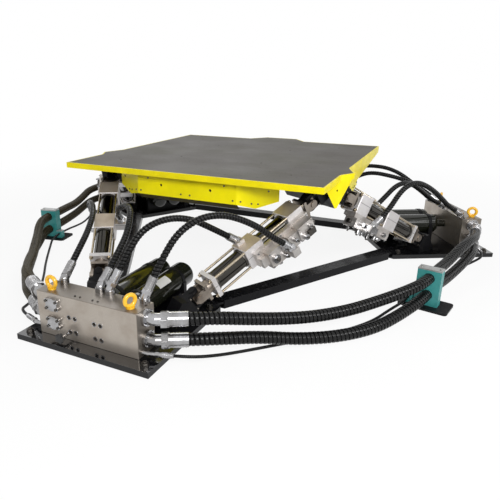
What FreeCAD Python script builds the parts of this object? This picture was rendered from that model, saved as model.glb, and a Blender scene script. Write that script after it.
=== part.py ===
import FreeCAD, Part
import math
import os
import re
from types import SimpleNamespace

import Sketcher

# A six-legged hydraulic motion platform, parked on its stops.
# Origin on the floor at the centre of the three stations, +Z up.
# Station A is at -Y, station B at +30 degrees and station C at +150 degrees.
# Three ears of the platform lie between the stations, and each carries two legs.

os.makedirs("parts", exist_ok=True)
doc = FreeCAD.newDocument("motion_platform")
Vector = FreeCAD.Vector
Rotation = FreeCAD.Rotation
Placement = FreeCAD.Placement
UP = Vector(0, 0, 1)

# Driving dimensions in millimetres and degrees
SIZES = {
    # Legs: pivots measured from the centre along an ear and across it
    "leg_plane_reach": 900.0,
    "lower_pivot_side": 919.0,
    "lower_pivot_rise": 145.0,
    "upper_pivot_side": 150.0,
    "upper_pivot_rise": 545.0,
    # Table top and its rim
    "table_width": 1720.0,
    "table_depth": 1690.0,
    "table_rise": 700.0,
    "deck_thick": 10.0,
    "deck_hole_radius": 6.5,
    "deck_outer_pitch": 1200.0,
    "deck_inner_pitch": 600.0,
    "rim_thick": 8.0,
    "rim_depth": 35.0,
    "rim_blend": 70.0,
    "side_apron_low": 110.0,
    "side_apron_high": 12.0,
    "side_apron_start": 656.0,
    "side_apron_end": 6.0,
    # Ears
    "ear_reach": 980.0,
    "ear_half": 136.0,
    "ear_flare": 39.0,
    "ear_inner": 560.0,
    "ear_plate": 12.0,
    "keel_rise": 506.0,
    "keel_flat": 8.0,
    "ear_hole_radius": 6.0,
    "ear_hole_rise": 612.0,
    # Skirts below the table
    "skirt_reach": 775.0,
    "skirt_half": 340.0,
    "skirt_rise": 535.0,
    "skirt_thick": 10.0,
    "skirt_hole_radius": 9.0,
    "skirt_hole_side": 170.0,
    "skirt_hole_rise": 603.0,
    "facet_length": 250.0,
    "facet_dip_at": 112.0,
    "facet_dip_rise": 511.0,
    "facet_end_rise": 552.0,
    "facet_turn": 30.0,
    "pan_depth": 34.0,
    "pan_inset": 40.0,
    # Universal joints
    "fork_gap": 32.0,
    "fork_arm": 18.0,
    "fork_tip": 26.0,
    "fork_seat": 46.0,
    "fork_flange": 18.0,
    "fork_half": 50.0,
    "trunnion": 15.0,
    "trunnion_fit": 0.05,
    "trunnion_end_play": 0.3,
    "cross_half": 27.0,
    "cap_radius": 21.0,
    "cap_thick": 5.0,
    # Cylinders, measured up the leg from the lower pivot
    "neck_radius": 40.0,
    "foot_plate_at": 95.0,
    "foot_plate_thick": 25.0,
    "body_side": 124.0,
    "barrel_radius": 51.0,
    "bore_radius": 42.0,
    "mid_block_at": 336.0,
    "mid_block_length": 126.0,
    "head_block_at": 659.0,
    "head_block_length": 116.0,
    "block_fit": 0.1,
    "block_chamfer": 2.5,
    "tie_offset": 51.0,
    "tie_radius": 7.0,
    "tie_fit": 0.2,
    "piston_at": 190.0,
    "piston_length": 60.0,
    "rod_radius": 25.0,
    "slide_fit": 0.05,
    # Valve manifold on the outward side of a cylinder
    "valve_plate_at": 372.0,
    "valve_plate_length": 400.0,
    "valve_plate_depth": 30.0,
    "valve_plate_top": 26.0,
    "valve_plate_height": 88.0,
    "servo_block_at": 640.0,
    "servo_block_length": 112.0,
    "servo_block_depth": 58.0,
    "servo_block_low": -72.0,
    "servo_block_high": 18.0,
    "pilot_block_at": 572.0,
    "pilot_block_length": 68.0,
    "pilot_block_depth": 40.0,
    "pilot_block_low": -84.0,
    "pilot_block_high": -2.0,
    "relief_block_at": 420.0,
    "relief_block_length": 128.0,
    "relief_block_depth": 44.0,
    "relief_block_low": -96.0,
    "relief_block_high": 6.0,
    "end_block_at": 380.0,
    "end_block_length": 40.0,
    "end_block_depth": 24.0,
    "end_block_low": -70.0,
    "end_block_high": -10.0,
    "cartridge_radius": 25.0,
    "cartridge_length": 14.0,
    "cartridge_along": 35.0,
    "cartridge_rise": -48.0,
    "spool_cap_radius": 15.0,
    "spool_cap_length": 34.0,
    "spool_cap_along": 100.0,
    "spool_cap_rise": -20.0,
    "screw_cap_radius": 12.0,
    "screw_cap_length": 26.0,
    "screw_cap_along": 95.0,
    "screw_cap_rise": -70.0,
    "pilot_cap_radius": 13.0,
    "pilot_cap_length": 30.0,
    "pilot_cap_rise": -30.0,
    "servo_cap_radius": 17.0,
    "servo_cap_length": 24.0,
    "servo_cap_along": 28.0,
    "servo_cap_rise": -50.0,
    "servo_screw_radius": 12.0,
    "servo_screw_length": 20.0,
    "servo_screw_along": 80.0,
    "servo_screw_rise": -12.0,
    "plug_radius": 14.0,
    "plug_length": 20.0,
    "plug_depth": 20.0,
    # Base plates
    "plate_half": 390.0,
    "plate_outer": 1820.0,
    "plate_inner": 1050.0,
    "plate_thick": 30.0,
    "plate_chamfer": 40.0,
    "anchor_radius": 11.0,
    "anchor_inset": 45.0,
    "anchor_circle": 1100.0,
    # Beams between the stations
    "beam_outer": 868.0,
    "beam_width": 96.0,
    "beam_height": 50.0,
    "beam_wall": 5.0,
    "splice_thick": 12.0,
    "splice_length": 80.0,
    "bolt_radius": 9.0,
    "bolt_head": 8.0,
    # Fork towers on the base plates
    "tower_width": 104.0,
    "tower_back": 34.0,
    "tower_root": 185.0,
    # Supply manifolds
    "manifold_half": 295.0,
    "manifold_outer": 1750.0,
    "manifold_depth": 140.0,
    "manifold_height": 230.0,
    "manifold_chamfer": 2.0,
    "port_radius": 10.0,
    "port_depth": 22.0,
    "port_pitch": 36.0,
    "port_left": -83.0,
    "port_right": 69.0,
    "port_low": 76.0,
    "port_high": 153.0,
    # Blind flanges and bleed valve
    "blind_side": -195.0,
    "blind_low": 107.0,
    "blind_high": 205.0,
    "blind_radius": 34.0,
    "blind_thick": 14.0,
    "bleed_side": -120.0,
    "bleed_rise": 62.0,
    "bleed_stem": 9.0,
    "bleed_length": 46.0,
    "knob_hub": 17.0,
    "knob_lobe": 8.0,
    "knob_lobe_at": 18.0,
    "knob_thick": 16.0,
    # Lifting eyes
    "eye_side": 233.0,
    "eye_inset": 43.0,
    "eye_collar": 21.0,
    "eye_collar_height": 10.0,
    "eye_ring": 27.0,
    "eye_wire": 10.0,
    "eye_play": 0.3,
    # Accumulators
    "bottle_radius": 71.0,
    "bottle_pitch": 150.0,
    "bottle_side": 38.0,
    "bottle_rise": 155.0,
    "bottle_length": 560.0,
    "bottle_dome": 42.0,
    "adapter_radius": 27.0,
    "adapter_length": 58.0,
    "saddle_thick": 30.0,
    "saddle_outer": 440.0,
    "saddle_inner": 100.0,
    "saddle_wall": 8.0,
    "saddle_fit": 0.3,
    "strap_width": 24.0,
    "strap_thick": 3.0,
    # Hose ports of a cylinder, measured up the leg, across it and from its axis
    "stub_radius": 21.0,
    "stub_length": 85.0,
    "stub_root": 12.0,
    "stub_lean": 31.5,
    "side_port_at": 535.0,
    "side_port_length": 50.0,
    "side_port_reach": 190.0,
    "side_port_low": -92.0,
    "side_port_high": -45.0,
    "side_port_axis": 165.0,
    "side_port_along": 22.0,
    "under_port_at": 600.0,
    "under_port_length": 70.0,
    "under_port_near": 60.0,
    "under_port_reach": 140.0,
    "under_port_low": -140.0,
    "under_port_high": -100.0,
    "under_port_axis": 115.0,
    "under_port_along": 40.0,
    "top_port_at": 350.0,
    "top_port_half": 25.0,
    "top_port_height": 23.0,
    "top_port_axis": 35.0,
    "top_stub_rise": 10.0,
    "inner_port_at": 405.0,
    "inner_port_length": 53.0,
    "inner_port_reach": 125.0,
    "inner_port_low": -35.0,
    "inner_port_high": 20.0,
    "inner_port_axis": 100.0,
    "inner_port_along": 30.0,
    # Hoses and their fittings
    "supply_hose": 31.0,
    "leg_hose": 17.0,
    "drain_hose": 8.0,
    "arch_inset": 125.0,
    "arch_port_1": -227.0,
    "arch_port_2": 0.0,
    "arch_port_3": 58.0,
    "arch_port_4": 257.0,
    "arch_nut": 25.0,
    "arch_nut_height": 22.0,
    "arch_elbow": 24.0,
    "arch_crimp": 105.0,
    "arch_last_run": 80.0,
    "supply_low": 108.0,
    "supply_high": 215.0,
    "supply_inset": 70.0,
    "supply_flange": 42.0,
    "supply_flange_thick": 16.0,
    "supply_neck": 30.0,
    "supply_neck_length": 50.0,
    "supply_turn": 30.0,
    "supply_pipe": 50.0,
    "supply_crimp": 35.0,
    "supply_crimp_length": 100.0,
    "supply_first_run": 130.0,
    "drain_inset": 25.0,
    "drain_rise": 60.0,
    "drain_neck": 11.0,
    "drain_neck_length": 40.0,
    "drain_turn": 18.0,
    "drain_pipe": 45.0,
    "drain_crimp": 12.0,
    "drain_crimp_length": 70.0,
    "drain_first_run": 85.0,
    # Clamp stands beside the beams
    "stand_side": 1410.0,
    "stand_front": 490.0,
    "stand_lean": 11.5,
    "stand_foot_length": 270.0,
    "stand_foot_width": 170.0,
    "stand_foot_thick": 12.0,
    "stand_foot_offset": 5.0,
    "stand_foot_corner": 20.0,
    "clamp_width": 130.0,
    "clamp_length": 60.0,
    "clamp_low_axis": 75.0,
    "clamp_high_axis": 175.0,
    "clamp_split": 125.0,
    "clamp_top": 222.0,
    "clamp_cover": 8.0,
    "clamp_bolt": 7.0,
    "clamp_bolt_head": 6.0,
    "clamp_fit": 0.3,
    "clamp_run": 110.0,
    "drain_clamp_side": 91.0,
    "drain_clamp_back": 29.0,
    "drain_clamp_width": 44.0,
    "drain_clamp_length": 40.0,
    "drain_clamp_top": 66.0,
    "drain_clamp_axis": 45.0,
    "drain_clamp_cover": 4.0,
}

sheet = doc.addObject("Spreadsheet::Sheet", "sizes")
for row, (name, value) in enumerate(SIZES.items(), start=1):
    sheet.set(f"A{row}", name)
    sheet.set(f"B{row}", str(value))
    sheet.setAlias(f"B{row}", name)
doc.recompute()
size = SimpleNamespace(**{name: float(sheet.get(name)) for name in SIZES})

nodes = {}


def cells(text):
    """An expression in which each size's name has become its cell."""
    return re.sub(r"[a-z][a-z_0-9]+", lambda word: "sizes." + word[0] if word[0] in SIZES else word[0], text)


def bind(item, **expressions):
    """Bind an object's properties to expressions of the sizes."""
    for name, text in expressions.items():
        item.setExpression(name, cells(text))
    return item


def put(item, x, y, z):
    """Bind the place of an object to expressions of the sizes."""
    for axis, text in zip("xyz", (x, y, z)):
        item.setExpression(f"Placement.Base.{axis}", cells(text))
    return item


AXES = {"x": Vector(1, 0, 0), "y": Vector(0, 1, 0), "z": UP}


def block(name, length, width, height, x="0", y="0", z="0"):
    """A box with one corner at x, y, z."""
    item = doc.addObject("Part::Box", name)
    bind(item, Length=length, Width=width, Height=height)
    return put(item, x, y, z)


def bar(name, radius, height, along="z", x="0", y="0", z="0"):
    """A round bar that starts at x, y, z and runs along an axis."""
    item = doc.addObject("Part::Cylinder", name)
    bind(item, Radius=radius, Height=height)
    item.Placement.Rotation = Rotation(UP, AXES[along])
    return put(item, x, y, z)


def fuse(name, *items):
    """Several overlapping or touching shapes made one solid."""
    item = doc.addObject("Part::MultiFuse", name)
    item.Shapes = list(items)
    item.Refine = True
    return item


def cut(name, base, *tools):
    """A shape with the tools taken away."""
    item = doc.addObject("Part::Cut", name)
    item.Base = base
    item.Tool = tools[0] if len(tools) == 1 else group(name + "_tools", *tools)
    item.Refine = True
    return item


def group(name, *items):
    """Separate solids kept side by side."""
    item = doc.addObject("Part::Compound", name)
    item.Links = list(items)
    return item


def mirrored(name, source, normal):
    """A shape reflected in a plane through the local origin."""
    item = doc.addObject("Part::Mirroring", name)
    item.Source = source
    item.Normal = normal
    return item


def placed(name, source, placement):
    """One copy of a shape at a place of its own."""
    item = group(name, source)
    item.Placement = placement
    return item


def node(label, *items):
    """Name the finished sub-part made of these solids."""
    item = items[0] if len(items) == 1 and items[0].Label not in nodes else group(label, *items)
    item.Label = label
    nodes[label] = item
    return item


def outline(body, name, role, corners, circles=()):
    """A closed outline of straight sides, and round holes, bound to the sizes."""
    sketch = body.newObject("Sketcher::SketchObject", name)
    plane = next(item for item in body.Origin.OriginFeatures if item.Role == role)
    sketch.AttachmentSupport = [(plane, "")]
    sketch.MapMode = "FlatFace"
    count = len(corners)
    starts = [Vector(100 * math.cos(2 * math.pi * k / count), 100 * math.sin(2 * math.pi * k / count), 0)
              for k in range(count)]
    for k in range(count):
        sketch.addGeometry(Part.LineSegment(starts[k], starts[(k + 1) % count]), False)
    for k in range(count):
        sketch.addConstraint(Sketcher.Constraint("Coincident", k, 2, (k + 1) % count, 1))
    for k, corner in enumerate(corners):
        fix_point(sketch, k, 1, corner)
    for x, y, radius in circles:
        ring = sketch.addGeometry(Part.Circle(Vector(10, 10, 0), UP, 5), False)
        fix_point(sketch, ring, 3, (x, y))
        index = sketch.addConstraint(Sketcher.Constraint("Radius", ring, 5.0))
        sketch.setExpression(f"Constraints[{index}]", cells(radius))
    return sketch


def fix_point(sketch, item, end, corner):
    """Hold one point of a sketch at an x and a y bound to the sizes."""
    for kind, text in zip(("DistanceX", "DistanceY"), corner):
        index = sketch.addConstraint(Sketcher.Constraint(kind, -1, 1, item, end, 1.0))
        sketch.setExpression(f"Constraints[{index}]", cells(text))


def feature(body, kind, name, sketch, length, middle=False, backward=False):
    """A pad or pocket of a sketch."""
    item = body.newObject("PartDesign::" + kind, name)
    item.Profile = sketch
    item.setExpression("Length", cells(length))
    item.Midplane = middle
    item.Reversed = backward
    return item


def new_body(name):
    return doc.addObject("PartDesign::Body", name)


def frame(origin, x_axis, y_axis):
    """A placement with its origin and its X and Y axes given."""
    return Placement(origin, Rotation(x_axis, y_axis, x_axis.cross(y_axis), "XYZ"))


def turned(degrees):
    """A turn about the vertical through the centre."""
    return Placement(Vector(), Rotation(UP, degrees))


# Where things are

STATIONS = {"a": 0, "b": 120, "c": 240}
EARS = (-30, 90, 210)
WING_TILT = "atan(ear_half / (table_rise - keel_rise))"
LEG_LENGTH = "hypot(lower_pivot_side - upper_pivot_side; upper_pivot_rise - lower_pivot_rise)"
wing_angle = math.atan2(size.ear_half, size.table_rise - size.keel_rise)
leg_run = size.lower_pivot_side - size.upper_pivot_side
leg_climb = size.upper_pivot_rise - size.lower_pivot_rise
leg_length = math.hypot(leg_run, leg_climb)
leg_angle = math.atan2(leg_climb, leg_run)


def ear_axes(degrees):
    """Level unit vectors out of an ear and across it."""
    out = Rotation(UP, degrees).multVec(Vector(1, 0, 0))
    return out, UP.cross(out)


def pivot_frame(ear, side, across, rise, tilt):
    """Frame of a pivot: X up the leg at this tilt, Y level, Z square to both."""
    out, along = ear_axes(ear)
    origin = out * size.leg_plane_reach + along * (side * across) + UP * rise
    level = along * -side
    return frame(origin, level * math.cos(tilt) + UP * math.sin(tilt), out * side)


# Universal joints: fork with its pin at the origin, stem towards -X, pin along Z

def make_fork():
    flange = block("fork_flange_plate", "fork_flange", "2 * fork_half", "2 * fork_half",
                   "-fork_seat - fork_flange", "-fork_half", "-fork_half")
    arm = fuse(
        "fork_arm_blank",
        block("fork_arm_web", "fork_seat", "2 * fork_tip", "fork_arm", "-fork_seat", "-fork_tip", "fork_gap"),
        bar("fork_arm_eye", "fork_tip", "fork_arm", "z", "0", "0", "fork_gap"),
    )
    bored = cut("fork_arm_bored", arm,
                bar("fork_bore", "trunnion + trunnion_fit", "fork_arm", "z", "0", "0", "fork_gap"))
    cap = bar("fork_cap", "cap_radius", "cap_thick", "z", "0", "0", "fork_gap + fork_arm")
    upper = fuse("fork_upper_arm", bored, cap)
    return fuse("fork", flange, upper, mirrored("fork_lower_arm", upper, UP))


def make_cross(name, level_reach):
    """Cross whose pins run along Z, into the fixed fork, and along Y, into the leg's fork."""
    pin_reach = "fork_gap + fork_arm - trunnion_end_play"
    return fuse(
        name,
        block(name + "_hub", "2 * cross_half", "2 * cross_half", "2 * cross_half",
              "-cross_half", "-cross_half", "-cross_half"),
        bar(name + "_pin", "trunnion", f"2 * ({pin_reach})", "z", "0", "0", f"-({pin_reach})"),
        bar(name + "_level_pin", "trunnion", f"2 * ({level_reach})", "y", "0", f"-({level_reach})", "0"),
    )


fork = make_fork()
level_fork = placed("level_fork", fork, Placement(Vector(), Rotation(Vector(1, 0, 0), 90)))
lower_cross = make_cross("lower_cross", "fork_gap + fork_arm - trunnion_end_play")
upper_cross = make_cross("upper_cross", "fork_gap - trunnion_end_play")


# Cylinder parts: origin at the lower pivot, X up the leg

def make_cap():
    """Lower fork, neck and square foot plate in one piece."""
    turned_fork = placed("cap_fork", level_fork, Placement(Vector(), Rotation(UP, 180)))
    neck = bar("cap_neck", "neck_radius", "foot_plate_at - fork_seat - fork_flange", "x", "fork_seat + fork_flange")
    plate = block("cap_plate", "foot_plate_thick", "body_side", "body_side",
                  "foot_plate_at", "-body_side / 2", "-body_side / 2")
    return fuse("cylinder_cap", turned_fork, neck, plate)


def make_barrel():
    start = "foot_plate_at + foot_plate_thick"
    length = "head_block_at - foot_plate_at - foot_plate_thick"
    return cut("barrel", bar("barrel_outside", "barrel_radius", length, "x", start),
               bar("barrel_bore", "bore_radius", length, "x", start))


def make_block(name, start, length, bore):
    """Square cylinder block with chamfered ends, bored for the barrel or rod and for the tie rods."""
    body = new_body(name + "_body")
    half = "body_side / 2"
    corners = [(f"-{half}", f"-{half}"), (half, f"-{half}"), (half, half), (f"-{half}", half)]
    ties = [(f"{a}tie_offset", f"{b}tie_offset", "tie_radius + tie_fit") for a in ("", "-") for b in ("", "-")]
    face = outline(body, name + "_face", "YZ_Plane", corners, [("0", "0", bore), *ties])
    pad = feature(body, "Pad", name + "_pad", face, length)
    doc.recompute()
    rims = [f"Edge{k}" for k, edge in enumerate(pad.Shape.Edges, start=1)
            if edge.Curve.TypeId == "Part::GeomLine" and edge.BoundBox.XLength < 1e-6]
    chamfer = body.newObject("PartDesign::Chamfer", name + "_chamfer")
    chamfer.Base = (pad, rims)
    chamfer.setExpression("Size", cells("block_chamfer"))
    return put(body, start, "0", "0")


def make_tie_rods():
    rods = []
    for k, (a, b) in enumerate(((1, 1), (1, -1), (-1, 1), (-1, -1))):
        rods.append(bar(f"tie_rod_{k}", "tie_radius", "head_block_at + head_block_length - foot_plate_at"
                        " - foot_plate_thick", "x", "foot_plate_at + foot_plate_thick",
                        f"{a} * tie_offset", f"{b} * tie_offset"))
    return rods


def make_rod():
    """Piston, rod and upper fork in one piece, with the upper pivot at leg_length."""
    stem = fuse(
        "rod_stem",
        bar("piston", "bore_radius - slide_fit", "piston_length", "x", "piston_at"),
        bar("rod_bar", "rod_radius", LEG_LENGTH + " - piston_at - fork_seat - fork_flange", "x", "piston_at"),
    )
    end = placed("rod_end_fork", level_fork, Placement(Vector(leg_length, 0, 0), Rotation()))
    return fuse("rod_and_fork", stem, end)


def make_valve_block():
    """Stepped valve manifold with its cartridges and plugs on the +Y side of the cylinder."""
    outer = "body_side / 2 + valve_plate_depth"
    pieces = [block("valve_plate", "valve_plate_length", "valve_plate_depth", "valve_plate_height",
                    "valve_plate_at", "body_side / 2", "valve_plate_top - valve_plate_height")]
    for name in ("servo_block", "pilot_block", "relief_block", "end_block"):
        pieces.append(block(name, f"{name}_length", f"{name}_depth", f"{name}_high - {name}_low",
                            f"{name}_at", outer, f"{name}_low"))
        if name != "end_block":
            pieces.append(bar(f"{name}_plug", "plug_radius", "plug_length", "z", f"{name}_at + {name}_length / 2",
                              f"{outer} + plug_depth", f"{name}_low - plug_length"))
    for name, carrier, along in (("cartridge", "relief_block", "cartridge_along"),
                                 ("spool_cap", "relief_block", "spool_cap_along"),
                                 ("screw_cap", "relief_block", "screw_cap_along"),
                                 ("pilot_cap", "pilot_block", "pilot_block_length / 2"),
                                 ("servo_cap", "servo_block", "servo_cap_along"),
                                 ("servo_screw", "servo_block", "servo_screw_along")):
        pieces.append(bar(name, f"{name}_radius", f"{name}_length", "y", f"{carrier}_at + {along}",
                          f"{outer} + {carrier}_depth", f"{name}_rise"))
    return fuse("valve_block", *pieces)


def stub(name, along, across, rise):
    """Hose end fitting of a leg, which leans back down the leg from the face of its port."""
    lean = math.radians(size.stub_lean)
    toward = Vector(-math.sin(lean), 0, math.cos(lean))
    item = doc.addObject("Part::Cylinder", name)
    bind(item, Radius="stub_radius", Height="stub_length + stub_root")
    item.Placement = Placement(Vector(along, across, rise) - toward * size.stub_root, Rotation(UP, toward))
    return item


STUBS = {
    "side": (size.side_port_at + size.side_port_along, size.side_port_axis, size.side_port_high),
    "under": (size.under_port_at + size.under_port_along, size.under_port_axis, size.under_port_high),
    "top": (size.top_port_at + size.top_port_half, -size.top_port_axis,
            size.body_side / 2 + size.top_port_height - size.top_stub_rise),
    "inner": (size.inner_port_at + size.inner_port_along, -size.inner_port_axis, size.inner_port_high),
}


def make_side_valve(valve):
    """Manifold on the outward side, with its hose port; outward is +Y."""
    port = block("side_port", "side_port_length", "side_port_reach - body_side / 2 - valve_plate_depth",
                 "side_port_high - side_port_low", "side_port_at", "body_side / 2 + valve_plate_depth",
                 "side_port_low")
    return fuse("side_valve", valve, port, stub("side_stub", *STUBS["side"]))


def make_under_valve(valve):
    """Manifold on the underside, with its hose port reaching outward."""
    below = placed("under_valve_block", mirrored("under_valve_mirrored", valve, Vector(0, 1, 0)),
                   Placement(Vector(), Rotation(Vector(1, 0, 0), 90)))
    port = block("under_port", "under_port_length", "under_port_reach - under_port_near",
                 "under_port_high - under_port_low", "under_port_at", "under_port_near", "under_port_low")
    return fuse("under_valve", below, port, stub("under_stub", *STUBS["under"]))


def make_top_port():
    """Hose port on top of the middle block; outward is +Y."""
    port = block("top_port", "2 * top_port_half", "2 * top_port_half", "top_port_height", "top_port_at",
                 "-top_port_axis - top_port_half", "body_side / 2")
    return fuse("top_port_fitted", port, stub("top_stub", *STUBS["top"]))


def make_inner_port():
    """Hose port on the inward side of the middle block; outward is +Y."""
    port = block("inner_port", "inner_port_length", "inner_port_reach - body_side / 2",
                 "inner_port_high - inner_port_low", "inner_port_at", "-inner_port_reach", "inner_port_low")
    return fuse("inner_port_fitted", port, stub("inner_stub", *STUBS["inner"]))


cap = make_cap()
barrel = make_barrel()
mid_block = make_block("mid_block", "mid_block_at", "mid_block_length", "barrel_radius + block_fit")
head_block = make_block("head_block", "head_block_at", "head_block_length", "rod_radius + slide_fit")
tie_rods = make_tie_rods()
rod = make_rod()
valve_block = make_valve_block()
side_valve = mirrored("side_valve_mirrored", make_side_valve(valve_block), Vector(0, 1, 0))
under_valve = make_under_valve(valve_block)
top_port = mirrored("top_port_mirrored", make_top_port(), Vector(0, 1, 0))
inner_port = make_inner_port()

LEGS = [(ear, side) for ear in EARS for side in (-1, 1)]
forks_on_base, forks_on_platform, crosses_low, crosses_high = [], [], [], []
half_turn = Placement(Vector(), Rotation(UP, 180))


def make_tower():
    """Inclined seat of a lower fork, in the level frame of the pivot."""
    body = new_body("tower")
    seat = "(fork_seat + fork_flange)"
    top = (f"-{seat} * cos({WING_TILT}) - fork_half * sin({WING_TILT})",
           f"-{seat} * sin({WING_TILT}) + fork_half * cos({WING_TILT})")
    low = (f"-{seat} * cos({WING_TILT}) + fork_half * sin({WING_TILT})",
           f"-{seat} * sin({WING_TILT}) - fork_half * cos({WING_TILT})")
    floor = "plate_thick - lower_pivot_rise"
    profile = outline(body, "tower_profile", "XZ_Plane",
                      [top, low, (low[0], floor), ("-tower_root", floor), (f"{top[0]} - tower_back", top[1])])
    feature(body, "Pad", "tower_pad", profile, "tower_width", middle=True)
    return body


tower = make_tower()
wing_distance = (f"((upper_pivot_side - keel_flat) * cos({WING_TILT})"
                 f" - (upper_pivot_rise - keel_rise) * sin({WING_TILT}))")
seat_block = block("platform_seat", f"{wing_distance} - fork_seat - fork_flange", "2 * fork_half", "2 * fork_half",
                   f"-{wing_distance}", "-fork_half", "-fork_half")
platform_fork = fuse("platform_fork", fork, seat_block)

for number, (ear, side) in enumerate(LEGS, start=1):
    leg = pivot_frame(ear, side, size.lower_pivot_side, size.lower_pivot_rise, leg_angle)
    low = pivot_frame(ear, side, size.lower_pivot_side, size.lower_pivot_rise, wing_angle)
    level = pivot_frame(ear, side, size.lower_pivot_side, size.lower_pivot_rise, 0)
    high = pivot_frame(ear, side, size.upper_pivot_side, size.upper_pivot_rise, wing_angle)
    node(f"cylinder_{number}", placed(f"cylinder_set_{number}", group(
        f"cylinder_parts_{number}", cap, barrel, mid_block, head_block, inner_port if side > 0 else top_port,
        *tie_rods), leg))
    node(f"rod_{number}", placed(f"rod_set_{number}", rod, leg))
    node(f"valve_block_{number}", placed(f"valve_set_{number}", under_valve if side > 0 else side_valve, leg))
    forks_on_base.append(placed(f"base_fork_{number}", fork, low))
    forks_on_base.append(placed(f"tower_{number}", tower, level))
    crosses_low.append(placed(f"lower_cross_{number}", lower_cross, low))
    forks_on_platform.append(placed(f"platform_fork_{number}", platform_fork, high * half_turn))
    crosses_high.append(placed(f"upper_cross_{number}", upper_cross, high))

node("base_forks", *forks_on_base)
node("lower_crosses", *crosses_low)
node("platform_forks", *forks_on_platform)
node("upper_crosses", *crosses_high)


# Platform: the table's outline, with an ear between each two stations

def table_outline(body, name, inset):
    """Rectangle with three ears, drawn in by the inset."""
    wide = f"(table_width / 2 - {inset})"
    deep = f"(table_depth / 2 - {inset})"
    reach = f"(ear_reach - {inset})"
    half = f"(ear_half - {inset} * tan(45 - ear_flare / 2))"
    ear_x = f"({reach} * cos(30) + {half} * sin(30))"
    ear_y = f"({half} * cos(30) - {reach} * sin(30))"
    right = [
        (wide, f"-{deep}"),
        (wide, f"({wide} * cos(30) - {reach}) / sin(30)"),
        (ear_x, ear_y),
        (wide, f"{ear_y} + ({ear_x} - {wide}) * tan(30 + ear_flare)"),
        (wide, deep),
        (f"{half} + ({reach} - {deep}) * tan(ear_flare)", deep),
        (half, reach),
    ]
    left = [(f"-({x})", y) for x, y in reversed(right)]
    return outline(body, name, "XY_Plane", right + left)


def table_body(name, inset, height):
    """A plate of the table's outline, its inner ear corners blended."""
    body = new_body(name)
    pad = feature(body, "Pad", name + "_pad", table_outline(body, name + "_outline", inset), height)
    doc.recompute()
    corners = [f"Edge{k}" for k, edge in enumerate(pad.Shape.Edges, start=1)
               if edge.BoundBox.ZLength > edge.Length - 1e-6
               and abs(abs(edge.CenterOfMass.x) - size.table_width / 2) < 2 * size.rim_thick
               and -size.table_depth * 0.4 < edge.CenterOfMass.y < -size.ear_reach * 0.4]
    blend = body.newObject("PartDesign::Fillet", name + "_blend")
    blend.Base = (pad, corners)
    blend.setExpression("Radius", cells("rim_blend"))
    return body


deck = table_body("deck_plate", "rim_thick", "deck_thick")
put(deck, "0", "0", "table_rise - deck_thick")
deck_holes = []
for pitch in ("deck_outer_pitch", "deck_inner_pitch"):
    for a in (-1, 1):
        for b in (-1, 1):
            deck_holes.append(bar("deck_hole", "deck_hole_radius", "deck_thick", "z",
                                  f"{a} * {pitch} / 2", f"{b} * {pitch} / 2", "table_rise - deck_thick"))
node("table_deck", cut("deck_drilled", deck, *deck_holes))

rim_outside = put(table_body("rim_outside", "0", "rim_depth"), "0", "0", "table_rise - rim_depth")
rim_inside = put(table_body("rim_inside", "rim_thick", "rim_depth"), "0", "0", "table_rise - rim_depth")


def make_apron(name, side):
    """Tapered panel under a long side of the table, deepest beside the ear."""
    body = new_body(name)
    low = "table_rise - rim_depth"
    front = "-table_depth / 2 + side_apron_start"
    back = "table_depth / 2 - side_apron_end"
    corners = [(front, low), (front, f"{low} - side_apron_low"), (back, f"{low} - side_apron_high"), (back, low)]
    profile = outline(body, name + "_profile", "YZ_Plane", corners)
    feature(body, "Pad", name + "_pad", profile, "rim_thick", backward=side > 0)
    return put(body, f"{side} * table_width / 2", "0", "0")


aprons = [make_apron("right_apron", 1), make_apron("left_apron", -1)]
node("table_rim", cut("rim", rim_outside, rim_inside), *aprons)


def make_ear():
    """V-shaped ear: an end shield and two inclined wings, X out of the ear."""
    body = new_body("ear")
    brink = "table_rise - rim_depth"
    top = "table_rise - deck_thick"
    half_top = f"(ear_half * ({brink} - keel_rise) / (table_rise - keel_rise) + keel_flat)"
    outside = [("-keel_flat", "keel_rise"), ("keel_flat", "keel_rise"), (half_top, brink), (half_top, top),
               (f"-{half_top}", top), (f"-{half_top}", brink)]
    shell = feature(body, "Pad", "ear_pad", outline(body, "ear_outside", "YZ_Plane", outside),
                    "ear_reach - ear_inner")
    doc.recompute()
    wall = f"(ear_plate / cos({WING_TILT}))"
    lift = f"(ear_plate / sin({WING_TILT}))"
    inner_half = f"({half_top} - {wall})"
    valley = f"keel_rise + {lift} / 2 + keel_flat / 2"
    inside = [("-keel_flat / 2", valley), ("keel_flat / 2", valley), (inner_half, brink), (inner_half, top),
              (f"-{inner_half}", top), (f"-{inner_half}", brink)]
    feature(body, "Pocket", "ear_pocket", outline(body, "ear_inside", "YZ_Plane", inside),
            "ear_reach - ear_inner - ear_plate", backward=True)
    return put(body, "ear_inner", "0", "0")


ear = make_ear()
ear_hole = bar("ear_hole", "ear_hole_radius", "2 * ear_plate", "x", "ear_reach - 1.5 * ear_plate", "0",
               "ear_hole_rise")
rim_notch = block("ear_rim_notch", "rim_thick", "2 * ear_half", "rim_depth", "ear_reach - rim_thick", "-ear_half",
                  "table_rise - rim_depth")
ear_drilled = cut("ear_drilled", ear, ear_hole, rim_notch)
node("platform_ears", *[placed(f"ear_{degrees % 360}", ear_drilled, turned(degrees)) for degrees in EARS])


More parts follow.
